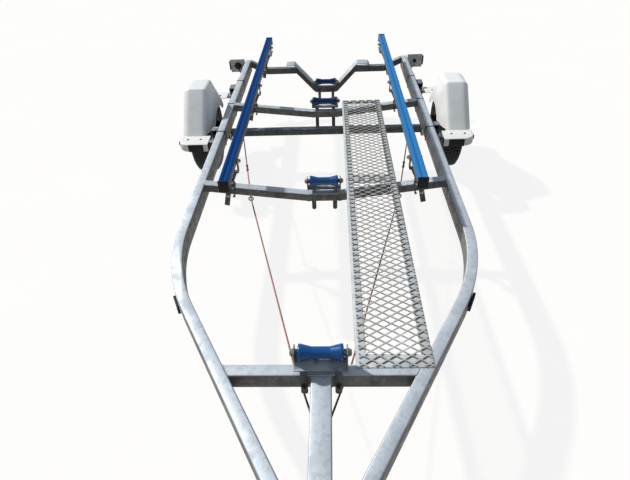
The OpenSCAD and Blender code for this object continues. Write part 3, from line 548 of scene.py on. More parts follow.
def outline(pairs, radius=0, along=0):
    """(radius, along) pairs in millimetres, counted from a radius and a place along the axle."""
    return [(radius + r * mm, along + x * mm) for r, x in pairs]


def both_ends(half, shared=0):
    """An outline and its mirror image; `shared` last points lie on the middle line and aren't doubled."""
    return half + [(r, -x) for r, x in reversed(half[:len(half) - shared])]


def arc(centre, radius, start, end, steps):
    """Points (u, v) on a circle, from one angle in degrees to another."""
    angles = [math.radians(start + (end - start) * k / steps) for k in range(steps + 1)]
    return [(centre[0] + radius * math.cos(a), centre[1] + radius * math.sin(a)) for a in angles]


# %% [markdown]
# ## Blocks, bolts and welds
# The small parts repeat all over the trailer. A block is a box whose edges are eased. A bolt head or nut
# is a hexagon with its corners turned off in a lathe, which leaves the round chamfer that makes it read
# as a nut. A weld is a bead laid in ripples, so its radius swells and shrinks along its length.

# %% Blocks, bolts and welds
def block(shape, low_corner, high_corner, ease=1 * mm, segments=2):
    size = Vector(high_corner) - Vector(low_corner)
    place = Matrix.Translation((Vector(high_corner) + Vector(low_corner)) / 2) @ Matrix.Diagonal((*size, 1))
    added = bmesh.ops.create_cube(shape, size=1, matrix=place)["verts"]
    edges = list({edge for vert in added for edge in vert.link_edges})
    if ease:
        bmesh.ops.bevel(shape, geom=edges, offset=ease, offset_type="OFFSET", segments=segments,
                        profile=0.5, affect="EDGES")


def hexagon(shape, at, along, radius, height):
    """A nut or bolt head standing on `at`, with chamfered corners."""
    along = along.normalized()
    chamfer = 0.14 * radius
    flat = 0.88 * radius
    rings = []
    for lift, reach in [(0, 0.96), (chamfer, 1.0), (height - chamfer, 1.0), (height, 0.90)]:
        ring = disc_ring(at + along * lift, along, radius * reach, 12)
        rings.append([at + along * lift + (p - at - along * lift) * (1 if i % 2 == 0 else flat / radius)
                      for i, p in enumerate(ring)])
    loft(shape, rings)


def bolt(shape, at, along, radius, height, shank=0.0, washer=True):
    """A washer, a hexagon and, beyond it, a stub of thread."""
    along = along.normalized()
    thick = 0.22 * radius if washer else 0
    if washer:
        rod(shape, at, at + along * thick, radius * 1.35, 20, 0.25 * thick)
    hexagon(shape, at + along * thick, along, radius, height)
    if shank:
        start = at + along * (thick + height)
        rod(shape, start, start + along * shank, radius * 0.56, 12, 0.12 * radius)


def weld(shape, start, end, radius=3 * mm, ripple=4 * mm):
    """A bead laid in ripples along a joint."""
    length = (end - start).length
    steps = max(4, int(length / ripple * 2))
    path = [start.lerp(end, k / steps) for k in range(steps + 1)]
    sweep(shape, path, lambda t: radius * (0.82 + 0.18 * math.cos(math.pi * round(t * steps))), 6)


def mirror(shape):
    """Adds the left-hand copy of everything in a right-hand shape."""
    copies = bmesh.ops.duplicate(shape, geom=shape.verts[:] + shape.edges[:] + shape.faces[:])["geom"]
    for item in copies:
        if isinstance(item, bmesh.types.BMVert):
            item.co.x *= -1
    bmesh.ops.reverse_faces(shape, faces=[item for item in copies if isinstance(item, bmesh.types.BMFace)])


print("helpers ready")

# %% [markdown]
# ## The frame: rails, drawbar and crossmembers
# These are rolled tubes, so only the edges that run along a tube are rounded. Its sawn ends stay crisp
# and keep their wall. The rule for each tube is a small test on an edge's two ends: rails and drawbar
# have their corners at the top and bottom, crossmembers at their front and back.

# %% Frame tubes
TUBE_R = 6 * mm


def along_rail(a, b):
    """True for a rail's long corners, which lie in its top or bottom face."""
    level = abs(a.z - b.z) < mm
    outside = min(abs(a.z - top_z), abs(a.z - low("rail_right").z)) < 0.1 * mm
    at_end = min(a.y, b.y) > rear_y - mm or max(abs(a.x), abs(b.x)) < 40 * mm
    return level and outside and not at_end


def along_cross(node):
    front, back = low(node).y, high(node).y
    return lambda a, b: abs(a.y - b.y) < mm and min(abs(a.y - front), abs(a.y - back)) < 0.1 * mm \
        and abs(a.x - b.x) > 0.5 * mm


for side in SIDES:
    softened("rail_" + side, galvanised, TUBE_R, 3, along_rail)
softened("drawbar", galvanised, TUBE_R, 3, lambda a, b: abs(a.y - b.y) > 0.5)
softened("front_crossmember", galvanised, TUBE_R, 3, along_cross("front_crossmember"))
for node in ("second_crossmember", "third_crossmember"):
    softened(node, galvanised, 5 * mm, 3, along_cross(node))
softened("rear_crossmember", galvanised_shade, 5 * mm, 3, along_cross("rear_crossmember"))
softened("keel_guide_wings", galvanised, 1.5 * mm)
softened("axle_beam", galvanised_shade, 5 * mm, 3, lambda a, b: abs(a.x - b.x) > 0.5)

# %% [markdown]
# ## Welds
# Where a crossmember meets a rail the joint is welded all round. A bead runs across the top and another
# down each face. The front crossmember meets the slanting legs of the rails, so its beads slant too;
# its corners are read from the CAD mesh instead of being worked out again.

# %% Weld beads
THIN_BEAD, THICK_BEAD = 2.5 * mm, 3.5 * mm


def end_of(node, y):
    """How far out a crossmember reaches at one of its faces."""
    return max(vert.co.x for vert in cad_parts[node].data.vertices if abs(vert.co.y - y) < mm)


def frame_welds(shape):
    for node in ("front_crossmember", "second_crossmember", "third_crossmember", "rear_crossmember"):
        front, back = low(node).y, high(node).y
        front_x, back_x = end_of(node, front), end_of(node, back)
        height = high("front_crossmember").z - low("front_crossmember").z
        height = height if node == "front_crossmember" else back - front
        weld(shape, Vector((front_x, front, top_z)), Vector((back_x, back, top_z)), THIN_BEAD)
        for x, y in ((front_x, front), (back_x, min(back, rear_y - THICK_BEAD))):
            weld(shape, Vector((x, y, top_z - 4 * mm)), Vector((x, y, top_z - height + 4 * mm)), THICK_BEAD)


bar_x = high("drawbar").x


def drawbar_welds(shape):
    front = low("front_crossmember").y
    weld(shape, Vector((-bar_x, front, top_z)), Vector((bar_x, front, top_z)), THIN_BEAD)
    for x in (-bar_x, bar_x):
        weld(shape, Vector((x, front, top_z)), Vector((x, front, top_z - 70 * mm)), THICK_BEAD)


piece("frame_welds", frame_welds, galvanised, both=True)
piece("drawbar_welds", drawbar_welds, galvanised)
print("welds laid")

# %% [markdown]
# ## Springs and what clamps them
# A leaf spring is a stack of thin bowed leaves held by a centre bolt, and two clips keep the leaves in
# line. U-bolts pull it down on the axle. The CAD leaves have the right bow, so they are softened, and the
# clips, the centre bolt and the plated nuts are new.

# %% Springs, U-bolts and hangers
softened("springs", spring_steel, 0.8 * mm, 1)
softened("spring_clamps", zinc_plate, 0.8 * mm, 1)
softened("spring_hangers", galvanised_shade, 1.5 * mm)
LEAF_W, LEAF_BOW = 45 * mm, 58 * mm
EYE_AHEAD, EYE_BEHIND = 0.30, 0.52  # from the axle to the spring's eyes, in metres
CLIP_AHEAD, CLIP_BEHIND = -190 * mm, 330 * mm
spring_x = high("springs").x - LEAF_W / 2
axle_y = middle("axle_beam").y


def spring_fittings(shape):
    clamp_low, clamp_high = low("spring_clamps").z, high("spring_clamps").z
    reach_x, reach_y = 29 * mm, 31.5 * mm
    for x in (-reach_x, reach_x):
        for y in (-reach_y, reach_y):
            bolt(shape, Vector((spring_x + x, axle_y + y, clamp_low + 14 * mm)), -UP, 11 * mm, 10 * mm)
    bolt(shape, Vector((spring_x, axle_y, clamp_high - 22 * mm)), UP, 9 * mm, 8 * mm, washer=False)
    for y, eye in ((CLIP_AHEAD, EYE_AHEAD), (CLIP_BEHIND, EYE_BEHIND)):
        top = clamp_high - 16 * mm + LEAF_BOW * (y / eye) ** 2
        block(shape, (spring_x - 26 * mm, axle_y + y - 11 * mm, top - 32 * mm),
              (spring_x + 26 * mm, axle_y + y + 11 * mm, top + 3 * mm))
    for y, z in ((low("springs").y + 15 * mm, high("springs").z - 16 * mm),
                 (axle_y + 490 * mm, high("springs").z - 43 * mm)):
        bolt(shape, Vector((high("spring_hangers").x - 6 * mm, y, z)), RIGHT, 13 * mm, 10 * mm, 3 * mm)


piece("spring_fittings", spring_fittings, zinc_plate, both=True)
print("spring centre line at x", round(spring_x, 3))

# %% [markdown]
# ## Tyres
# A tyre is a lathe: bead, bulging sidewall, shoulder and tread. The tread is what a plain lathe lacks, so
# the crown is turned slightly small and real rubber blocks stand on it, in five ribs whose cuts slant
# alternately.

# %% Tyres
RIBS = ((-0.94, -0.60, 0.35), (-0.54, -0.20, -0.25), (-0.14, 0.14, 0.0), (0.20, 0.54, 0.25),
        (0.60, 0.94, -0.35))  # from and to, in shares of the half tread width, and the slant of the cuts
BLOCKS_ROUND = 64
TREAD_DEEP = 7 * mm


def crown(across):
    """Radius of the tread at a share of its half width."""
    return tyre_r - 9 * mm * abs(across) ** 3


def tyre(shape, side):
    centre = middle("tyre_" + side)
    half = tyre_w / 2
    tread = half - 15 * mm
    bead = high("rim_" + side).z - centre.z
    base = [(crown(k / 6) - TREAD_DEEP, tread * k / 6) for k in range(-6, 7)]
    flank = outline(((-14, -16), (-22, -9), (-34, -4), (-50, -1), (-62, 0), (-66, 0), (-70, -1), (-90, -5)),
                    tyre_r, half)
    flank += outline(((13, -12), (9, -12.5), (4, -14), (0, -17)), bead, half)
    lathe(shape, base + both_ends(flank), centre, 96)
    for rib, (near, far, slant) in enumerate(RIBS):
        for k in range(BLOCKS_ROUND):
            tread_block(shape, centre, tread, near, far, k + 0.5 * (rib % 2), slant)


def tread_block(shape, centre, tread, near, far, step, slant):
    """One rubber block between two shares of the half width."""
    rings = []
    for share in (near, (near + far) / 2, far):
        ring = []
        shift = slant * (share - near) / (far - near)
        for angle_share, lift in ((0.06, -TREAD_DEEP), (0.10, 0), (0.84, 0), (0.88, -TREAD_DEEP)):
            angle = 2 * math.pi * (step + shift + angle_share) / BLOCKS_ROUND
            radius = crown(share) + lift * 1.1
            ring.append(centre + Vector((tread * share, math.cos(angle) * radius, math.sin(angle) * radius)))
        rings.append(ring)
    loft(shape, rings)


for side in SIDES:
    made = piece("treaded_tyre_" + side, lambda shape: tyre(shape, side), tyre_rubber, "wheel_" + side,
                 ("tyre_" + side,), smooth=30)
    print(made.name, len(made.data.polygons), "faces")

# %% [markdown]
# ## Wheels, hubs and brakes
# The wheel is a pressed steel disc in a rolled rim. The disc is drawn as rings of points, dished like the
# real pressing, and eight vent holes are made by dropping the faces inside each hole's circle and
# pulling the edge that is left onto that circle. A Solidify modifier gives the sheet its thickness.

# %% Wheels
DISH = [(34, 16), (42, 16), (50, 15), (57, 13), (66, 12), (76, 12), (86, 17), (94, 26), (101, 31), (110, 33),
        (118, 33), (126, 32), (135, 29), (143, 22), (150, 14), (157, 8), (162, 4)]
HOLES = 8
HOLE_R, HOLE_AT = 12.5 * mm, 118 * mm


def wheel_disc(shape, side):
    """The dished disc with its vent holes, as one sheet."""
    centre = middle("tyre_" + side)
    outward = 1 if side == "right" else -1
    turns = HOLES * 18
    rows = []
    for radius, along in DISH:
        rows.append([shape.verts.new(centre + Vector((
            outward * along * mm, radius * mm * math.cos(2 * math.pi * k / turns),
            radius * mm * math.sin(2 * math.pi * k / turns)))) for k in range(turns)])
    for one, two in zip(rows, rows[1:]):
        for k in range(turns):
            shape.faces.new((one[k], one[(k + 1) % turns], two[(k + 1) % turns], two[k]))
    for hole in range(HOLES):
        angle = 2 * math.pi * (hole + 0.5) / HOLES
        at = Vector((math.cos(angle), math.sin(angle))) * HOLE_AT

        def off(co):
            return Vector((co.y - centre.y, co.z - centre.z)) - at

        inside = [face for face in shape.faces if off(face.calc_center_median()).length < HOLE_R]
        bmesh.ops.delete(shape, geom=inside, context="FACES")
        for vert in shape.verts:
            if vert.is_boundary and off(vert.co).length < 2 * HOLE_R:
                way = off(vert.co).normalized() * HOLE_R + at
                vert.co.y = centre.y + way.x
                vert.co.z = centre.z + way.y


def rim(shape, side):
    centre = middle("tyre_" + side)
    half = (high("rim_" + side).x - low("rim_" + side).x) / 2
    flange = high("rim_" + side).z - centre.z
    outer = outline(((0, -2), (-1, 0), (-3, 0), (-6, -3), (-9.5, -6), (-11, -12), (-12, -26), (-24, -36)),
                    flange, half)
    inner = outline(((0, -5), (-4, -5.5), (-7, -8)), flange, half)
    inner += [(radius - 3 * mm, along - (1.5 * mm if along > half - 8 * mm else 0))
              for radius, along in outer[3:]]
    lathe(shape, both_ends(inner) + both_ends(outer)[::-1], centre, 96)


for side in SIDES:
    body = "wheel_" + side
    # The rim and the disc wear the zinc painted brighter, as if lit.
    made = piece("wheel_rim_" + side, lambda shape: rim(shape, side), galvanised_painted_light, body,
                 ("rim_" + side,), smooth=50)
    disc = piece("wheel_disc_" + side, lambda shape: wheel_disc(shape, side), galvanised_painted_light, body,
                 smooth=50)
    sheet = disc.modifiers.new("Sheet", "SOLIDIFY")
    sheet.thickness = 4 * mm
    sheet.offset = 0.0
    print(made.name, disc.name)

# %% [markdown]
# The hub carries the wheel on five studs. The CAD hub and its brake disc keep their place, and get a turned
# dust cap and wheel nuts with their studs. Behind the wheel the caliper is softened and bolted.

# %% Hubs and calipers
STUD_CIRCLE = 57 * mm


def hub_fittings(shape, side):
    centre = middle("tyre_" + side)
    outward = RIGHT if side == "right" else -RIGHT
    cap = [(0.5, 96), (8, 96), (16, 94), (22, 90), (26, 84), (27, 78), (29, 77), (31, 75), (31, 30),
           (0.5, 30)]
    reach = high("hub_right").x - hub_at.x
    scale = min(1.0, (reach + 2 * mm) / (96 * mm))
    sign = outward.x
    lathe(shape, [(r * mm, sign * x * mm * scale) for r, x in cap], centre, 40)
    for k in range(5):
        angle = math.radians(72 * k)
        at = centre + STUD_CIRCLE * Vector((0, math.cos(angle), math.sin(angle))) + outward * 14 * mm
        hexagon(shape, at + outward * 4 * mm, outward, 12.5 * mm, 13 * mm)
        rod(shape, at, at + outward * 4 * mm, 14 * mm, 20, 2 * mm)
        rod(shape, at + outward * 16 * mm, at + outward * 24 * mm, 6 * mm, 12, 1 * mm)


for side in SIDES:
    paint_node(dark_steel, "hub_" + side)
    piece("hub_fittings_" + side, lambda shape: hub_fittings(shape, side), zinc_plate, "wheel_" + side)


def caliper_bolts(shape):
    for z in (-24 * mm, 24 * mm):
        at = Vector((hub_at.x - 102 * mm, hub_at.y + 108 * mm, hub_at.z + z))
        for sign in (-1, 1):
            bolt(shape, Vector((sign * at.x, at.y, at.z)), -sign * RIGHT, 10 * mm, 8 * mm)


softened("brake_calipers", dark_steel, 4 * mm, 2, add=caliper_bolts)
print("hubs and calipers done")

# %% [markdown]
# ## Wheel guards
# Each guard is one vacuum-formed shell: a flat-topped arch over the tyre, rounded gently into its inner
# side and generously into its outer side. The arch line is worked out once for any inset, so the rounded
# sides are simply the same line shrinking while it moves across. Rows of those lines are joined into
# one skin, and the skin is then thickened into a sheet.

# %% The arch line
STEP_L, LIP_H, SHEET = 120 * mm, 50 * mm, 4 * mm
LIP_OUT = 2.5 * mm  # how far the lip stands ahead of the step
guard_w = high("guard_right").x - low("guard_right").x
guard_x = low("guard_right").x
guard_top = high("guard_right").z - hub_at.z
guard_rise = low("guard_right").z + LIP_H - hub_at.z
arch_foot = high("guard_right").y - hub_at.y - STEP_L - LIP_OUT
ARCH_FLAT = 94 * mm
INNER_OPENING, OUTER_OPENING = 205 * mm, 278 * mm


def arch_line(inset, crease=16 * mm):
    """(y, z) points of the arch round the hub, moved inward by `inset`."""
    run, rise = arch_foot - ARCH_FLAT, guard_top - guard_rise
    slope = Vector((run, rise)).normalized()
    foot = Vector((-arch_foot + inset / slope.y, guard_rise))
    corner = Vector((foot.x + (guard_top - inset - guard_rise) * slope.x / slope.y, guard_top - inset))
    half_turn = math.atan2(slope.y, slope.x) / 2
    radius = max(crease - 0.3 * inset, 5 * mm)
    cut_back = radius * math.tan(half_turn)
    start, centre = corner - slope * cut_back, corner + Vector((cut_back, -radius))
    bend = arc(centre, radius, 90 + math.degrees(2 * half_turn), 90, 6)
    front = [foot.lerp(start, k / 8) for k in range(8)] + [Vector(point) for point in bend]
    crown_point = Vector((0, guard_top - inset))
    half = front + [front[-1].lerp(crown_point, k / 3) for k in (1, 2)]
    return half + [crown_point] + [Vector((-p.x, p.y)) for p in reversed(half)]


def opening_line(radius, count):
    """The round wheel opening, as many points as the arch line."""
    start = math.degrees(math.asin(guard_rise / radius))
    return [Vector(point) for point in arc((0, 0), radius, 180 - start, start, count - 1)]


print("arch points:", len(arch_line(0)))

# %% [markdown]
# The skin runs from the inner opening up the inner side, which leans a little as it rises, over the
# rounding, across the top, over the wider outer rounding and down to the outer opening. The steps fore
# and aft are a second skin: a flat top with a lip that follows a rounded corner and runs back along the
# side.

# %% Guard skins
INNER_ROUND, INNER_LEAN, OUTER_ROUND, CORNER_R = 30 * mm, 34 * mm, 52 * mm, 80 * mm


def guard_arch(shape):
    count = len(arch_line(0))
    columns = []
    inner, outer = opening_line(INNER_OPENING, count), opening_line(OUTER_OPENING, count)
    rim_in, rim_out = arch_line(INNER_ROUND), arch_line(OUTER_ROUND)
    for k in range(6):
        columns.append((INNER_LEAN * (k / 6) ** 2.2, [a.lerp(b, k / 6) for a, b in zip(inner, rim_in)]))
    for across, inset in arc((INNER_LEAN + INNER_ROUND, INNER_ROUND), INNER_ROUND, 180, 270, 6):
        columns.append((across, arch_line(inset)))
    flat_from, flat_to = INNER_LEAN + INNER_ROUND, guard_w - OUTER_ROUND
    for k in range(1, 5):
        columns.append((flat_from + (flat_to - flat_from) * k / 5, arch_line(0)))
    for across, inset in arc((guard_w - OUTER_ROUND, OUTER_ROUND), OUTER_ROUND, 270, 360, 8):
        columns.append((across, arch_line(inset)))
    for k in range(1, 6):
        columns.append((guard_w, [a.lerp(b, k / 5) for a, b in zip(rim_out, outer)]))
    rings = [[Vector((guard_x + x, hub_at.y + p.x, hub_at.z + p.y)) for p in line] for x, line in columns]
    loft(shape, rings, closed=False, caps=False)


def step_outline():
    """Plan of a step, from its inner front corner round its outer corner to the arch: (x, y) points."""
    front, side = arch_foot + STEP_L + LIP_OUT, guard_w
    corner = arc((side - CORNER_R, front - CORNER_R), CORNER_R, 90, 0, 8)
    ahead = [(x * mm, front) for x in (0, 40, 80)]
    return [Vector(point) for point in ahead + corner + [(side, arch_foot - 10 * mm)]]


def guard_step(shape, flip):
    """A step's flat top, rolled edge and lip; `flip` is -1 for the step in front of the wheel."""
    top, roll = guard_rise + 5 * mm, 10 * mm
    edge = step_outline()
    rings = []
    for i, point in enumerate(edge):
        run = edge[min(i + 1, len(edge) - 1)] - edge[max(i - 1, 0)]
        inward = Vector((run.y, -run.x)).normalized()
        root = Vector((min(point.x, guard_w - 30 * mm), arch_foot - 8 * mm))
        line = [(root, top), (root.lerp(point + inward * roll, 0.5), top)]
        for reach, drop in arc((roll, roll), roll, 270, 180, 4):
            line.append((point + inward * reach, top - drop))
        line += [(point, top - 0.6 * LIP_H), (point, top - LIP_H - 2.5 * mm),
                 (point + inward * 6 * mm, top - LIP_H - 2.5 * mm)]
        rings.append([Vector((guard_x + p.x, hub_at.y + flip * p.y, hub_at.z + z)) for p, z in line])
    loft(shape, rings, closed=False, caps=False)


def thicken(shape, thickness):
    """Turns an open skin into a sheet: a second skin a little further in, and an edge all round."""
    bmesh.ops.recalc_face_normals(shape, faces=shape.faces)
    top_face = max(shape.faces, key=lambda face: face.calc_center_median().z)
    if top_face.normal.z < 0:
        bmesh.ops.reverse_faces(shape, faces=shape.faces)
    shape.normal_update()
    verts, faces = list(shape.verts), list(shape.faces)
    rim = [edge for edge in shape.edges if edge.is_boundary]
    inner = {vert: shape.verts.new(vert.co - vert.normal * thickness) for vert in verts}
    for face in faces:
        shape.faces.new([inner[vert] for vert in reversed(face.verts)])
    for edge in rim:
        one, two = edge.verts
        shape.faces.new((one, two, inner[two], inner[one]))


def guard(shape, side):
    for draw_skin in (guard_arch, lambda skin: guard_step(skin, -1), lambda skin: guard_step(skin, 1)):
        skin = bmesh.new()
        draw_skin(skin)
        thicken(skin, SHEET)
        mesh = bpy.data.meshes.new("skin")
        skin.to_mesh(mesh)
        skin.free()
        shape.from_mesh(mesh)
        bpy.data.meshes.remove(mesh)
    if side == "left":
        for vert in shape.verts:
            vert.co.x *= -1


for side in SIDES:
    made = piece("formed_guard_" + side, lambda shape: guard(shape, side), guard_white, "chassis",
                 ("guard_" + side,), smooth=50)
    print(made.name, len(made.data.polygons), "faces")

# %% [markdown]
# A ribbed black rubber pad is fixed to the lip in front of each wheel, and a small black bumper covers the
# step's outer corner. Dome-headed screws hold the guard down on its brackets.

# %% Guard trim
def guard_trim(shape):
    lip_y = hub_at.y - arch_foot - STEP_L - LIP_OUT
    top = hub_at.z + guard_rise + 3 * mm
    for k in range(10):
        x = guard_x + (36 + 10 * k) * mm
        block(shape, (x, lip_y - 5 * mm, top - LIP_H), (x + 6.5 * mm, lip_y + 1 * mm, top - 1 * mm), 1 * mm)
    block(shape, (guard_x + 32 * mm, lip_y - 2 * mm, top - LIP_H - 3 * mm),
          (guard_x + 136 * mm, lip_y + 1 * mm, top), 1 * mm)
    side = guard_x + guard_w
    block(shape, (side - 16 * mm, lip_y + 46 * mm, top - 26 * mm), (side - 1 * mm, lip_y + 62 * mm, top),
          3 * mm)
    for flip in (-1, 1):
        screw_y, screw_z = hub_at.y + flip * (arch_foot + 45 * mm), hub_at.z + guard_rise + 5 * mm
        for x in (60 * mm, 150 * mm):
            at = Vector((guard_x + x, screw_y, screw_z))
            rod(shape, at - UP * 3 * mm, at + UP * 3 * mm, 8 * mm, 16, 2 * mm)


piece("guard_trim", guard_trim, black_plastic, both=True)
softened("guard_brackets", galvanised_shade, 1.5 * mm)

# %% [markdown]
# ## Skids
# A skid is a length of blue plastic with a shallow groove, slipped over a galvanised channel and closed by
# a black cap at each end. Its outline is drawn once and lofted along the trailer, which is how the real
# strip is made: squeezed through a die.

# %% Skid strips, channels and caps
def skid_outline():
    """(x, z) points of half a strip, from the middle of its top groove to the middle underneath."""
    groove = [(0, -4), (5, -4), (6.2, -3.4), (7, -1.4), (8.2, -0.3), (10, 0)]
    turned_edge = [(21 + u, -4 + v) for u, v in arc((0, 0), 4, 90, 0, 3)]
    side = [(25, -30), (24, -32.5), (22, -34), (20, -34), (19, -33), (19, -14), (0, -14)]
    return outline(groove + [(18, 0)] + turned_edge + side)


def skid_strips(shape):
    start, end, top = low("skid_strips").y, high("skid_strips").y, high("skid_strips").z
    half = skid_outline()
    whole = half + [(-x, z) for x, z in reversed(half[1:-1])]
    stations = [start + (end - start) * k / 12 for k in range(13)]
    loft(shape, [[Vector((skid_x + x, y, top + z)) for x, z in whole] for y in stations])


piece("skid_strips_drawn", skid_strips, blue_skid, "chassis", ("skid_strips",), smooth=40, both=True)
softened("skid_beams", galvanised, 1 * mm)
softened("skid_caps", black_plastic, 2.5 * mm, 3)

# %% [markdown]
# ## Skid brackets
# Each skid is carried by three leaning arms. The first two are held to their crossmembers by square
# U-bolts, so that they can be slid to suit a hull, and the rear one is only bolted on. A U-bolt bar runs
# over the tube beside its arm, with a dark clamp plate and two nuts in front. The long pivot bolt under the
# skid shows plated nuts at both ends. The crossmembers dip, so a plumb line let down on the CAD tube tells
# how high its top is beside each arm.

# %% Skid brackets
SKID_ARMS = (("second_crossmember", 16), ("third_crossmember", 40), ("rear_crossmember", 135))
pivot_z = high("skid_strips").z - 48 * mm
clamp_x = skid_x + 29 * mm
U_BOLT_R, PLATE_T = 4.5 * mm, 7 * mm


def plumb(node, x, y):
    """Height at which a plumb line let down at (x, y) meets a CAD piece."""
    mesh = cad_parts[node].data
    tree = BVHTree.FromPolygons([v.co for v in mesh.vertices], [p.vertices for p in mesh.polygons])
    return tree.ray_cast(Vector((x, y, 3)), -UP)[0].z


def skid_nuts(shape):
    for node, back_by in SKID_ARMS:
        front = low(node).y
        tube_top = plumb(node, clamp_x, middle(node).y)
        for sign in (-1, 1):
            at = Vector((skid_x + sign * 24.5 * mm, front - back_by * mm, pivot_z))
            bolt(shape, at, sign * RIGHT, 12.5 * mm, 10 * mm, 5 * mm)
        for lift in (6, -56) if node != "rear_crossmember" else ():
            at = Vector((clamp_x, front - PLATE_T, tube_top + lift * mm))
            bolt(shape, at, AHEAD, 8.5 * mm, 7 * mm, 7 * mm, washer=False)
        for lift, x in ((18, 34), (-72, 64)):
            bolt(shape, Vector((skid_x + x * mm, front - 10 * mm, top_z + lift * mm)), AHEAD, 9 * mm, 7 * mm,
                 4 * mm)


def skid_clamps(shape):
    for node, _ in SKID_ARMS[:2]:
        front, tube_top = low(node).y, plumb(node, clamp_x, middle(node).y)
        corners = ((-12, 6), (50, 6), (57, 0), (57, -50), (50, -57), (-12, -57))
        bar = [Vector((clamp_x, front + y * mm, tube_top + z * mm)) for y, z in corners]
        sweep(shape, bar, U_BOLT_R, 10)
        block(shape, (clamp_x - 15 * mm, front - PLATE_T, tube_top - 14 * mm),
              (clamp_x + 15 * mm, front, tube_top + 24 * mm), 1.5 * mm)


softened("skid_brackets", galvanised_shade, 1.5 * mm)
piece("skid_nuts", skid_nuts, zinc_plate, both=True)
piece("skid_clamps", skid_clamps, spring_steel, both=True)
print("skids and their brackets done")

# %% [markdown]
# ## Keel rollers
# The keel rolls on four waisted rollers. Each is turned on a lathe: a raised rim at both ends, a cone down
# to a level waist, and a bore for the pin. On the real roller only the ends see the sun and scuffs; the
# finish adds scuffs all over.

# %% Keel rollers
WAIST_R, BORE_R = 22 * mm, 9 * mm


def keel_roller(shape, node):
    centre = middle(node)
    half = high(node).x - centre.x
    end_r = high(node).z - centre.z
    right = [(BORE_R, half)]
    right += outline(((-9, 0), (-5, -1), (-1.5, -2.5), (0, -5), (0, -10), (-0.8, -13)), end_r, half)
    right += [(WAIST_R + 1.2 * mm, half * 0.46), (WAIST_R + 0.3 * mm, half * 0.42),
              (WAIST_R, half * 0.38), (WAIST_R, 0)]
    lathe(shape, both_ends(right, 1), centre, 56)


for name in ("front", "second", "third", "rear"):
    # The two rear rollers get the blue painted darker, in shade.
    paint = blue_roller if name in ("front", "second") else blue_shaded
    piece("turned_roller_" + name, lambda shape: keel_roller(shape, "keel_roller_" + name), paint,
          "roller_" + name, ("keel_roller_" + name,), smooth=32)
print("four rollers turned")

# %% [markdown]
# Their brackets are bent from flat bar, with a pair of flat stems that slide in the frame for height. Plated
# nuts close both ends of each pin, and the stems are held by a bolt each.

# %% Roller brackets
def roller_nuts(shape):
    for name in ("front", "second", "third", "rear"):
        centre = middle("keel_roller_" + name)
        ear = max(92 * mm, high("keel_roller_" + name).x - centre.x + 2 * mm) + 5 * mm
        for sign in (-1, 1):
            bolt(shape, centre + sign * RIGHT * ear, sign * RIGHT, 12.5 * mm, 10 * mm)


def stem_bolts(shape):
    for node, z in (("front_crossmember", top_z - 52 * mm), ("rear_crossmember",
                                                             low("rear_crossmember").z + 25 * mm)):
        for sign in (-1, 1):
            bolt(shape, Vector((sign * 63 * mm, low(node).y - 8 * mm, z)), AHEAD, 9 * mm, 7 * mm, 6 * mm)


softened("roller_brackets", galvanised_shade, 1.5 * mm)
piece("roller_nuts", roller_nuts, zinc_plate)
piece("stem_bolts", stem_bolts, spring_steel)

# %% [markdown]
# ## The walkway
# The walkway is expanded metal: a sheet slit and stretched until it opens into diamonds. What makes it
# look right is that each strand twists a little and that strands meet in broad knuckles. So a strand is
# lofted with a changing tilt, a knuckle is a small flat plate with its corners cut off, and both repeat
# over a lattice. Sheets are sheared to size without regard to the diamonds, which leaves short jagged
# tips all round.

# %% Expanded metal
DIAMOND_X, DIAMOND_Y = 58 * mm, 38.6 * mm
STRAND_W, STRAND_T = 5.8 * mm, 2.8 * mm


def strand(shape, start, end, part=1.0):
    """One twisted strand, its rear edge leaning down; `part` under 1 shears it off on its way."""
    along = (end - start).normalized()
    across = along.cross(UP).normalized()
    lean = -1 if along.x * along.y > 0 else 1
    rings = []
    for share, tilt in ((0.0, 0), (0.25, 12), (0.5, 17), (0.75, 12), (1.0, 0)):
        turned = Matrix.Rotation(math.radians(lean * tilt), 3, along)
        wide, tall = turned @ across * STRAND_W / 2, turned @ UP * STRAND_T / 2
        at = start.lerp(end, share * part)
        rings.append([at - wide - tall, at + wide - tall, at + wide + tall, at - wide + tall])
    loft(shape, rings)


def knuckle(shape, at):
    plan = ((-8, -2.5), (-3, -4.5), (3, -4.5), (8, -2.5), (8, 2.5), (3, 4.5), (-3, 4.5), (-8, 2.5))
    loft(shape, [[at + Vector((x, y, z)) * mm for x, y in plan] for z in (-1.4, 1.4)])


def expanded_sheet(shape, x_span, y_span, height):
    """Fills a rectangle with diamonds, sheared at its edges; diamonds stretch a little to fit."""
    wide, deep = x_span[1] - x_span[0], y_span[1] - y_span[0]
    columns, rows = round(2 * wide / DIAMOND_X) - 1, round(2 * deep / DIAMOND_Y) - 1
    step_x, step_y = wide / (columns + 1), deep / (rows + 1)
    corner = Vector((x_span[0] + step_x / 2, y_span[0] + step_y / 2, height))
    for row in range(rows + 1):
        for column in range(row % 2, columns + 1, 2):
            at = corner + Vector((column * step_x, row * step_y, 0))
            knuckle(shape, at)
            for way_x, way_y in ((-1, -1), (1, -1), (-1, 1), (1, 1)):
                inside = 0 <= column + way_x <= columns and 0 <= row + way_y <= rows
                if inside and way_y < 0:
                    continue
                step = Vector((way_x * step_x, way_y * step_y, 0))
                clear = Vector((way_x * 4, way_y * 2.2, 0)) * mm
                strand(shape, at + clear, at + step - clear, 1.0 if inside else 0.5)


def walkway(shape):
    near, far = low("walkway_frame"), high("walkway_frame")
    split = middle("second_crossmember").y
    across = (near.x + 12 * mm, far.x - 4 * mm)
    height = far.z + 3.5 * mm
    expanded_sheet(shape, across, (near.y + 3 * mm, split - 3 * mm), height)
    expanded_sheet(shape, across, (split + 3 * mm, far.y - 3 * mm), height)


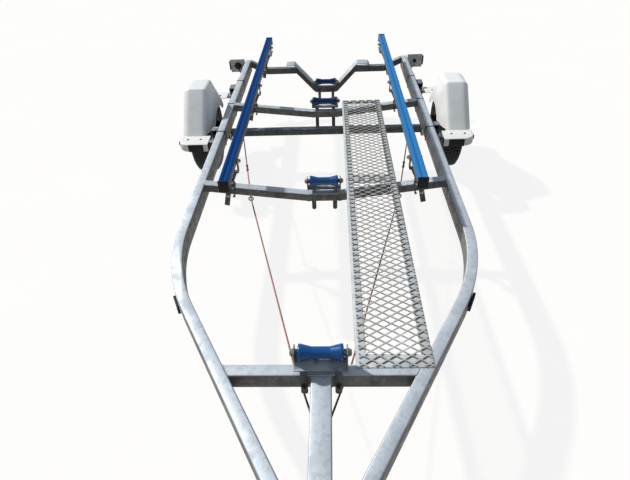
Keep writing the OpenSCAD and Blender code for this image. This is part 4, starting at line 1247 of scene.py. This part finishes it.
# The walkway frame wears the zinc painted brighter, as if lit, and the strands the zinc painted darker, for
# the shade among them.
softened("walkway_frame", galvanised_painted_light, 0.8 * mm)
made = piece("expanded_walkway", walkway, galvanised_mesh_painted_shade, "chassis", ("walkway_mesh",), smooth=30)
print("walkway:", len(made.data.polygons), "faces")

# %% [markdown]
# ## Brake cables
# A thin cable runs to each brake from the drawbar, in its plastic sleeve, through a ring under the second
# crossmember and two plates under the drawbar. It is pulled nearly straight, so its listed points are
# joined with short curves only where it passes a clip. An adjuster with lock nuts sits along each side.

# %% Brake cables
second_y, front_y = low("second_crossmember").y, low("front_crossmember").y
CABLE_Z, ANCHOR_Z = top_z - 150 * mm, top_z - 91 * mm
CABLE_R, LEAD_R = 4 * mm, 3 * mm
beam_half = high("axle_beam").x - 158 * mm
cable_route = [Vector(point) for point in (
    (beam_half - 10 * mm, axle_y + 105 * mm, hub_at.z - 30 * mm),
    (rail_out - 78 * mm, axle_y - 10 * mm, hub_at.z - 40 * mm),
    (rail_out - 134 * mm, axle_y - 194 * mm, CABLE_Z - 20 * mm),
    (444 * mm, second_y + 70 * mm, CABLE_Z),
    (116 * mm, front_y + 156 * mm, CABLE_Z),
    (79 * mm, front_y + 49 * mm, CABLE_Z + 10 * mm),
    (27 * mm, front_y - 130 * mm, ANCHOR_Z),
    (27 * mm, low("brake_cables").y + 3 * mm, ANCHOR_Z))]


def eased_route(points, reach=25 * mm, steps=4):
    """The same route with each corner turned into a short curve."""
    path = [points[0]]
    for before, corner, after in zip(points, points[1:], points[2:]):
        a = corner + (before - corner).normalized() * min(reach, (before - corner).length / 2)
        b = corner + (after - corner).normalized() * min(reach, (after - corner).length / 2)
        path += [(1 - t) ** 2 * a + 2 * t * (1 - t) * corner + t ** 2 * b
                 for t in [k / steps for k in range(steps + 1)]]
    return path + [points[-1]]


def brake_cables(shape):
    sweep(shape, eased_route(cable_route), CABLE_R, 10)


def cable_adjusters(shape):
    start, end = cable_route[2], cable_route[3]
    along = (end - start).normalized()
    a, b = start.lerp(end, 0.49), start.lerp(end, 0.57)
    rod(shape, a, b, 6 * mm, 16, 1.5 * mm)
    hexagon(shape, a, along, 9 * mm, 8 * mm)
    hexagon(shape, b - along * 8 * mm, along, 9 * mm, 8 * mm)
    rod(shape, b, b + along * 26 * mm, 4.2 * mm, 12, 1 * mm)


piece("sleeved_cables", brake_cables, cable_sleeve, "chassis", ("brake_cables",), both=True)
piece("cable_adjusters", cable_adjusters, spring_steel, both=True)
paint_node(spring_steel, "cable_guides")
route = eased_route(cable_route)
print("each brake cable is", round(sum((b - a).length for a, b in zip(route, route[1:])), 2), "m long")

# %% [markdown]
# ## Lamp wiring and cable ties
# Three black ties bind the lamp lead to each rail. A tie is a flat strap round the tube with a square head
# and a cut tail. The lead itself runs along the rail's outer face, from the lamp's round plug to a hole
# in the rail, where it goes inside.

# %% Cable ties and lamp lead
TIE_BACK = (513 * mm, 988 * mm, 1460 * mm)  # how far ahead of the rails' rear ends each tie sits


def rail_loop(off):
    """(x, z) corners of a loop round the right rail's section, `off` away from it."""
    floor_z = low("rail_right").z
    return [(rail_in - off, floor_z - off), (rail_out + off, floor_z - off),
            (rail_out + off, top_z + off), (rail_in - off, top_z + off)]


def rail_ties(shape):
    for back in TIE_BACK:
        y = rear_y - back
        rings = [[Vector((x, y + aside, z)) for aside, (x, z) in
                  ((-4.5 * mm, a), (4.5 * mm, a), (4.5 * mm, b), (-4.5 * mm, b))]
                 for a, b in zip(rail_loop(0.2 * mm), rail_loop(2.0 * mm))]
        loft(shape, rings, ring_ends=True, caps=False)
        x = rail_in - 3 * mm
        block(shape, (x - 4 * mm, y - 5 * mm, top_z - 12 * mm), (x + 3 * mm, y + 5 * mm, top_z - 1 * mm))
        head = Vector((x - 2 * mm, y, top_z - 10 * mm))
        tail = smooth_path([head, head + Vector((-7, -2, -18)) * mm, head + Vector((-5, -3, -44)) * mm], 5)
        sweep(shape, tail, lambda t: (2.2 - 0.6 * t) * mm, 6)


def lamp_leads(shape):
    run = []
    for i, back in enumerate((75, 300, 513, 750, 988, 1230, 1460, 1700)):
        run.append(Vector((rail_out + 4 * mm, rear_y - back * mm, top_z - (12 + 5 * (i % 2)) * mm)))
    run[0] += Vector((30, 0, -20)) * mm
    run[-1] -= Vector((9, 12, 0)) * mm
    sweep(shape, smooth_path(run, 6), LEAD_R, 8)


piece("rail_ties", rail_ties, black_plastic, both=True)
piece("lamp_leads", lamp_leads, black_plastic, both=True)

# %% [markdown]
# ## Lamps and side markers
# The tail lamp is a black case with a red lens and an amber end, on a galvanised plate. Its plug is a black
# boot on the plate's front, with a short pigtail. The side markers are thin dark strips that follow the
# rails' bends, each with its small window.

# %% Lamps
# The lamp plates wear the zinc painted brighter, as if lit.
softened("lamp_brackets", galvanised_painted_lighter, 1 * mm)
lamp_y = high("lamp_brackets").y
lamp_middle = Vector((rail_out + 66 * mm, lamp_y, middle("lamp_brackets").z))
tail_out = high("tail_lamps").x


def lamp_cases(shape):
    """Cases on both sides; the left one has a big rubber boot with a hanging pigtail."""
    left, right = rail_out + 4 * mm, tail_out
    floor_z, roof = lamp_middle.z - 40 * mm, lamp_middle.z + 40 * mm
    block(shape, (left, lamp_y, floor_z), (right, lamp_y + 14 * mm, roof), 5 * mm, 3)
    mirror(shape)
    for side, radius in ((-1, 30 * mm), (1, 15 * mm)):
        at = Vector((side * lamp_middle.x, lamp_y - 4 * mm, lamp_middle.z))
        lathe(shape, [(radius, 0), (radius, 12 * mm), (0.85 * radius, 18 * mm), (0.5 * radius, 21 * mm),
                      (mm, 21 * mm), (mm, 0)], at, 32, AHEAD)
        plug = at + Vector((-side * 0.3 * radius, -20 * mm, -0.4 * radius))
        inward = Vector((-side * mm, 0, 0))
        tail = smooth_path([plug, plug + inward * 4 + Vector((0, -12, -26)) * mm,
                            plug + inward * 24 + Vector((0, -12, -46)) * mm,
                            plug + inward * 50 + Vector((0, -4, -40)) * mm], 6)
        sweep(shape, tail, 5 * mm if side < 0 else LEAD_R, 10)


def lamp_lenses(shape, from_x, to_x):
    floor_z, roof = lamp_middle.z - 37 * mm, lamp_middle.z + 37 * mm
    block(shape, (from_x, lamp_y + 12 * mm, floor_z), (to_x, lamp_y + 36 * mm, roof), 5 * mm, 4)


piece("lamp_cases", lamp_cases, black_plastic, "chassis", ("tail_lamps",))
for name, paint, from_x, to_x in (("red_lenses", red_lens, rail_out + 7 * mm, rail_out + 96 * mm),
                                  ("amber_lenses", amber_lens, rail_out + 97.5 * mm, tail_out - 3 * mm)):
    piece(name, lambda shape: lamp_lenses(shape, from_x, to_x), paint, both=True)


def marker_windows(shape):
    """A low window on each marker's outer face, made by raising part of that face."""
    outer = [face for face in shape.faces if face.calc_area() > 2000 * mm * mm and abs(face.normal.z) < 0.2]
    outer = [face for face in outer if face.normal.x * face.calc_center_median().x > 0]
    bmesh.ops.inset_individual(shape, faces=outer, thickness=6 * mm, depth=-2 * mm)


softened("side_markers", black_plastic, 1.5 * mm, 2, add=marker_windows)
print("lamps done")

# %% [markdown]
# ## Winch post, winch and bow stop
# The bow is drawn up by the winch against a V-shaped rubber block on top of the post. The post is clamped
# to the drawbar with square U-bolts. The CAD shapes are softened, and a wound strap, nuts and a black grip
# are added, since those are what the eye looks for on a winch.

# %% Winch
softened("winch_post", galvanised, 2.5 * mm, 2)
softened("winch", dark_steel, 1.2 * mm, 1)
softened("bow_stop", galvanised, 1.2 * mm, 1)
post_y = post_at.y
winch_at = Vector((0, post_y + 77 * mm, high("winch_post").z - 210 * mm))


def wound_strap(shape):
    """Six turns of webbing side by side on the drum, each slightly crowned."""
    turns = [(31 + 1.2 * (k % 4 == 2), 34 * (1 - k / 12)) for k in range(25)]
    lathe(shape, outline([(19, -34), (19, 34)] + turns), winch_at, 48)


def winch_grip(shape):
    grip = [(12, 74), (14.5, 76), (15, 84), (13.2, 100), (13, 118), (14.6, 140), (15, 152), (12, 159),
            (1, 160), (1, 74)]
    at = Vector((0, winch_at.y, winch_at.z - 178 * mm))
    lathe(shape, outline(grip), at, 28)


def post_nuts(shape):
    pin_z = high("winch_post").z - 30 * mm
    for sign in (-1, 1):
        for y in (post_y - 70 * mm, post_y + 70 * mm):
            bolt(shape, Vector((sign * (bar_x + 1 * mm), y, top_z + 8 * mm)), UP, 9 * mm, 8 * mm, 6 * mm)
        for x, y in ((37 * mm, post_y + 140 * mm), (31 * mm, post_y - 5 * mm)):
            bolt(shape, Vector((sign * x, y, pin_z)), sign * RIGHT, 12 * mm, 9 * mm)
    bolt(shape, Vector((72 * mm, winch_at.y, winch_at.z)), RIGHT, 10 * mm, 8 * mm)
    for x in (-30 * mm, 30 * mm):
        for z in (-30 * mm, 40 * mm):
            at = Vector((x, winch_at.y - 47 * mm, winch_at.z + z))
            bolt(shape, at, -AHEAD, 8 * mm, 6 * mm, washer=False)


def bow_block(shape):
    """The V block, a little larger than the CAD block inside it, with its edges well rounded."""
    centre = Vector((0, post_y + 145 * mm, high("winch_post").z - 30 * mm))
    half = [(0, 13), (34, 63.5), (62.5, 61), (25, 9.5), (25, -70.5), (0, -70.5)]
    plan = half + [(-x, y) for x, y in reversed(half[1:-1])]
    rings = []
    for z, share in ((-55, 0.95), (-52, 1.0), (52, 1.0), (54.5, 0.95)):
        rings.append([centre + Vector((x * share, y * share, z)) * mm for x, y in plan])
    loft(shape, rings)


piece("wound_strap", wound_strap, black_plastic)
piece("winch_grip", winch_grip, black_plastic, smooth=30)
piece("post_nuts", post_nuts, zinc_plate)
piece("bow_block", bow_block, blue_roller, smooth=25)
print("winch post dressed")

# %% [markdown]
# ## Coupling and handbrake
# The coupling is a cast head on a sleeve that slides over the drawbar. Casting leaves generous roundings, so
# a wider bevel is used. Two through bolts pin the sleeve, with their low heads on the left, where the
# jockey stand swings past them. The handbrake lever gets a moulded grip.

# %% Coupling and handbrake
nose = low("coupling").y


def coupling_bolts(shape):
    for y in (nose + 300 * mm, nose + 370 * mm):
        for sign in (-1, 1):
            at = Vector((sign * high("coupling").x, y, top_z - bar_x))
            bolt(shape, at, sign * RIGHT, 11 * mm, 6 * mm, 4 * mm if sign > 0 else 0)


softened("coupling", dark_steel, 2.5 * mm, 2)
softened("handbrake_lever", dark_steel, 1.2 * mm, 2)
piece("coupling_bolts", coupling_bolts, zinc_plate)


def lever_grip(shape):
    """A sleeve over the lever's end, with finger grooves."""
    x = bar_x + 11 * mm
    foot = Vector((x, nose + 394 * mm, top_z + 226 * mm))
    tip = Vector((x, nose + 438 * mm, top_z + 332 * mm))
    path = [foot.lerp(tip, k / 28) for k in range(29)]

    def thick(t):
        return 11 * mm if t in (0, 1) else (14.2 - 1.2 * math.cos(t * 8 * math.pi)) * mm

    sweep(shape, path, thick, 18)


piece("lever_grip", lever_grip, black_plastic, smooth=45)

# %% [markdown]
# ## Jockey wheel
# The jockey wheel holds the drawbar up when the car is gone. Its clamp is bolted to the drawbar, its tube
# swings up for the road, its leg winds down, and its fork swivels. Each of those rides on its own body, so
# every detail is given to the body that carries it. The wheel is solid rubber on a moulded hub.

# %% Jockey wheel
softened("jockey_clamp", dark_steel, 1.5 * mm, 2)
softened("jockey_tube", galvanised, 1.2 * mm, 1, body="jockey_stand")
softened("jockey_fork", galvanised, 1.2 * mm, 1, body="jockey_swivel")
# The leg wears the zinc painted brighter, as if lit.
paint_node(galvanised_painted_light, "jockey_leg")
wheel_at = middle("jockey_wheel")
jockey_r = high("jockey_wheel").z - wheel_at.z
jockey_half = high("jockey_wheel").x - wheel_at.x


def jockey_tyre(shape):
    flank = outline(((-34, -5), (-30, -1), (-22, 0), (-12, -1), (-5, -5), (-1.2, -11), (0, -16)),
                    jockey_r, jockey_half)
    flank += outline(((0, 5), (-2.5, 3.5), (-2.5, 0)), jockey_r)
    lathe(shape, both_ends(flank, 1), wheel_at, 64)


def jockey_hub(shape):
    """A moulded centre: boss, web with ribs, and the rim under the tyre."""
    half, rim_r = jockey_half, jockey_r - 33 * mm
    boss = outline(((6.5, 0), (18, 0), (20, -3), (22, -14)), 0, half)
    lathe(shape, both_ends(boss + outline(((-6, -15), (-4, -4), (1, -4)), rim_r, half)), wheel_at, 48)
    for k in range(6):
        spoke = Vector((0, math.cos(math.radians(60 * k)), math.sin(math.radians(60 * k))))
        thick = RIGHT.cross(spoke) * 2.5 * mm
        for sign in (-1, 1):
            rings = []
            for reach in (19 * mm, rim_r - 3 * mm):
                at = wheel_at + spoke * reach + RIGHT * sign * (half - 10 * mm)
                rings.append([at + thick + RIGHT * 6 * mm, at + thick - RIGHT * 6 * mm,
                              at - thick - RIGHT * 6 * mm, at - thick + RIGHT * 6 * mm])
            loft(shape, rings)


piece("jockey_tyre", jockey_tyre, jockey_rubber, "jockey_roll", ("jockey_wheel",))
piece("jockey_hub", jockey_hub, black_plastic, "jockey_roll", smooth=30)

# %% [markdown]
# Plated nuts close the jockey's axle and hold its clamp, and a black grip turns on its crank. Each is placed
# from the CAD piece that it belongs to.

# %% Jockey fittings
def axle_nuts(shape):
    for sign in (-1, 1):
        reach = jockey_half + 10 * mm
        bolt(shape, wheel_at + sign * RIGHT * reach, sign * RIGHT, 10.5 * mm, 7 * mm)


def clamp_bolts(shape):
    centre_y, outer = middle("jockey_clamp").y, -bar_x - 8 * mm
    for y in (-35 * mm, 35 * mm):
        for z in (top_z + 12 * mm, low("drawbar").z - 12 * mm):
            bolt(shape, Vector((outer, centre_y + y, z)), -RIGHT, 9 * mm, 6 * mm, washer=False)


def crank_grip(shape):
    top = high("jockey_tube")
    at = Vector((middle("jockey_leg").x, top.y - 14 * mm, top.z - 70 * mm))
    grip = [(11, 1), (14, 3), (15, 12), (13, 30), (13.2, 44), (14.6, 60), (13, 68), (9, 70), (1, 70),
            (1, 1)]
    lathe(shape, outline(grip), at, 28, UP)


piece("jockey_axle_nuts", axle_nuts, zinc_plate, "jockey_swivel")
piece("jockey_clamp_bolts", clamp_bolts, zinc_plate)
piece("crank_grip", crank_grip, black_plastic, "jockey_stand", smooth=30)
print("jockey wheel dressed")

# %% [markdown]
# ## Floor, light and camera
# The trailer stands on a plain pale floor in strong, slightly softened light from behind its left side,
# which, with the light and shade painted into the zinc, makes its tops bright and the faces towards us
# dark. The camera and its mirror rays see the floor nearly white, while every other ray meets a warm grey,
# like paving, so the floor doesn't flood the undersides with light. The camera looks down the trailer from
# ahead of the front crossmember.

# %% Floor
def floor_finish():
    paint = Paint("pale_floor")
    grain = paint.cloud(0.4, 3.0)
    plain = paint.node("ShaderNodeBsdfDiffuse", None, {
        "Color": paint.colour((0.29, 0.265, 0.23, 1), (0.33, 0.305, 0.265, 1), grain)})
    glow = paint.node("ShaderNodeEmission", None, {"Color": grey(1.0), "Strength": 1.44})
    ray = "ShaderNodeLightPath"
    seen = paint.node(ray, output="Is Camera Ray") + paint.node(ray, output="Is Glossy Ray") \
        + paint.node(ray, output="Is Transmission Ray")
    paint.node_out(paint.node("ShaderNodeMixShader", None, {0: seen * FLOOR_WHITE, 1: plain, 2: glow}))
    return paint.material


FLOOR_WHITE = 0.6  # how far the camera's own rays see the floor as a pale glow
FLOOR_HALF = 60
shape = bmesh.new()
bmesh.ops.create_grid(shape, x_segments=1, y_segments=1, size=FLOOR_HALF)
mesh = bpy.data.meshes.new("floor")
shape.to_mesh(mesh)
shape.free()
mesh.materials.append(floor_finish())
floor = bpy.data.objects.new("floor", mesh)
bpy.context.scene.collection.objects.link(floor)

# %% Sun and sky
world = bpy.data.worlds.new("studio_sky")
bpy.context.scene.world = world
world.use_nodes = True
sky = world.node_tree
background = sky.nodes["Background"]
background.inputs["Color"].default_value = (0.74, 0.87, 1.0, 1)
background.inputs["Strength"].default_value = 0.38
white = sky.nodes.new("ShaderNodeBackground")
white.inputs["Color"].default_value = (1, 1, 1, 1)
white.inputs["Strength"].default_value = 1.0
rays = sky.nodes.new("ShaderNodeLightPath")
either = sky.nodes.new("ShaderNodeMixShader")
sky.links.new(rays.outputs["Is Camera Ray"], either.inputs[0])
sky.links.new(background.outputs[0], either.inputs[1])
sky.links.new(white.outputs[0], either.inputs[2])
sky.links.new(either.outputs[0], sky.nodes["World Output"].inputs["Surface"])

light = bpy.data.lights.new("sun", "SUN")
light.energy = 3.5
light.angle = math.radians(2.5)
light.color = (1.0, 0.98, 0.95)
sun = bpy.data.objects.new("sun", light)
sun.rotation_mode = "QUATERNION"
sun.rotation_quaternion = Vector((0.92, -0.62, -1.0)).to_track_quat("-Z", "Y")
bpy.context.scene.collection.objects.link(sun)
bpy.context.scene.view_settings.view_transform = "Standard"

# %% [markdown]
# ## The camera
# The lens, tilt and small roll come from solving the view against the straight members of the frame.
# A camera looks along its own -Z, so its turn is built from its forward, right and up directions.

# %% Camera
TILT, ROLL, YAW = math.radians(39.32), math.radians(-2.693), math.radians(-2.960)
forward = Vector((math.sin(YAW) * math.cos(TILT), math.cos(YAW) * math.cos(TILT), -math.sin(TILT)))
level = Vector((math.cos(YAW), -math.sin(YAW), 0))
upright = level.cross(forward)
across = level * math.cos(ROLL) + upright * math.sin(ROLL)
above = upright * math.cos(ROLL) - level * math.sin(ROLL)
lens = bpy.data.cameras.new("camera")
lens.lens = 27.105
lens.shift_y = 0.0063
lens.clip_end = 200
camera = bpy.data.objects.new("camera", lens)
turn = Matrix((across, above, -forward)).transposed().to_4x4()
camera.matrix_world = Matrix.Translation(Vector((0.0526, rear_y - 4.45, 1.938))) @ turn
bpy.context.scene.collection.objects.link(camera)
bpy.context.scene.camera = camera
print("camera", [round(value, 3) for value in camera.location])
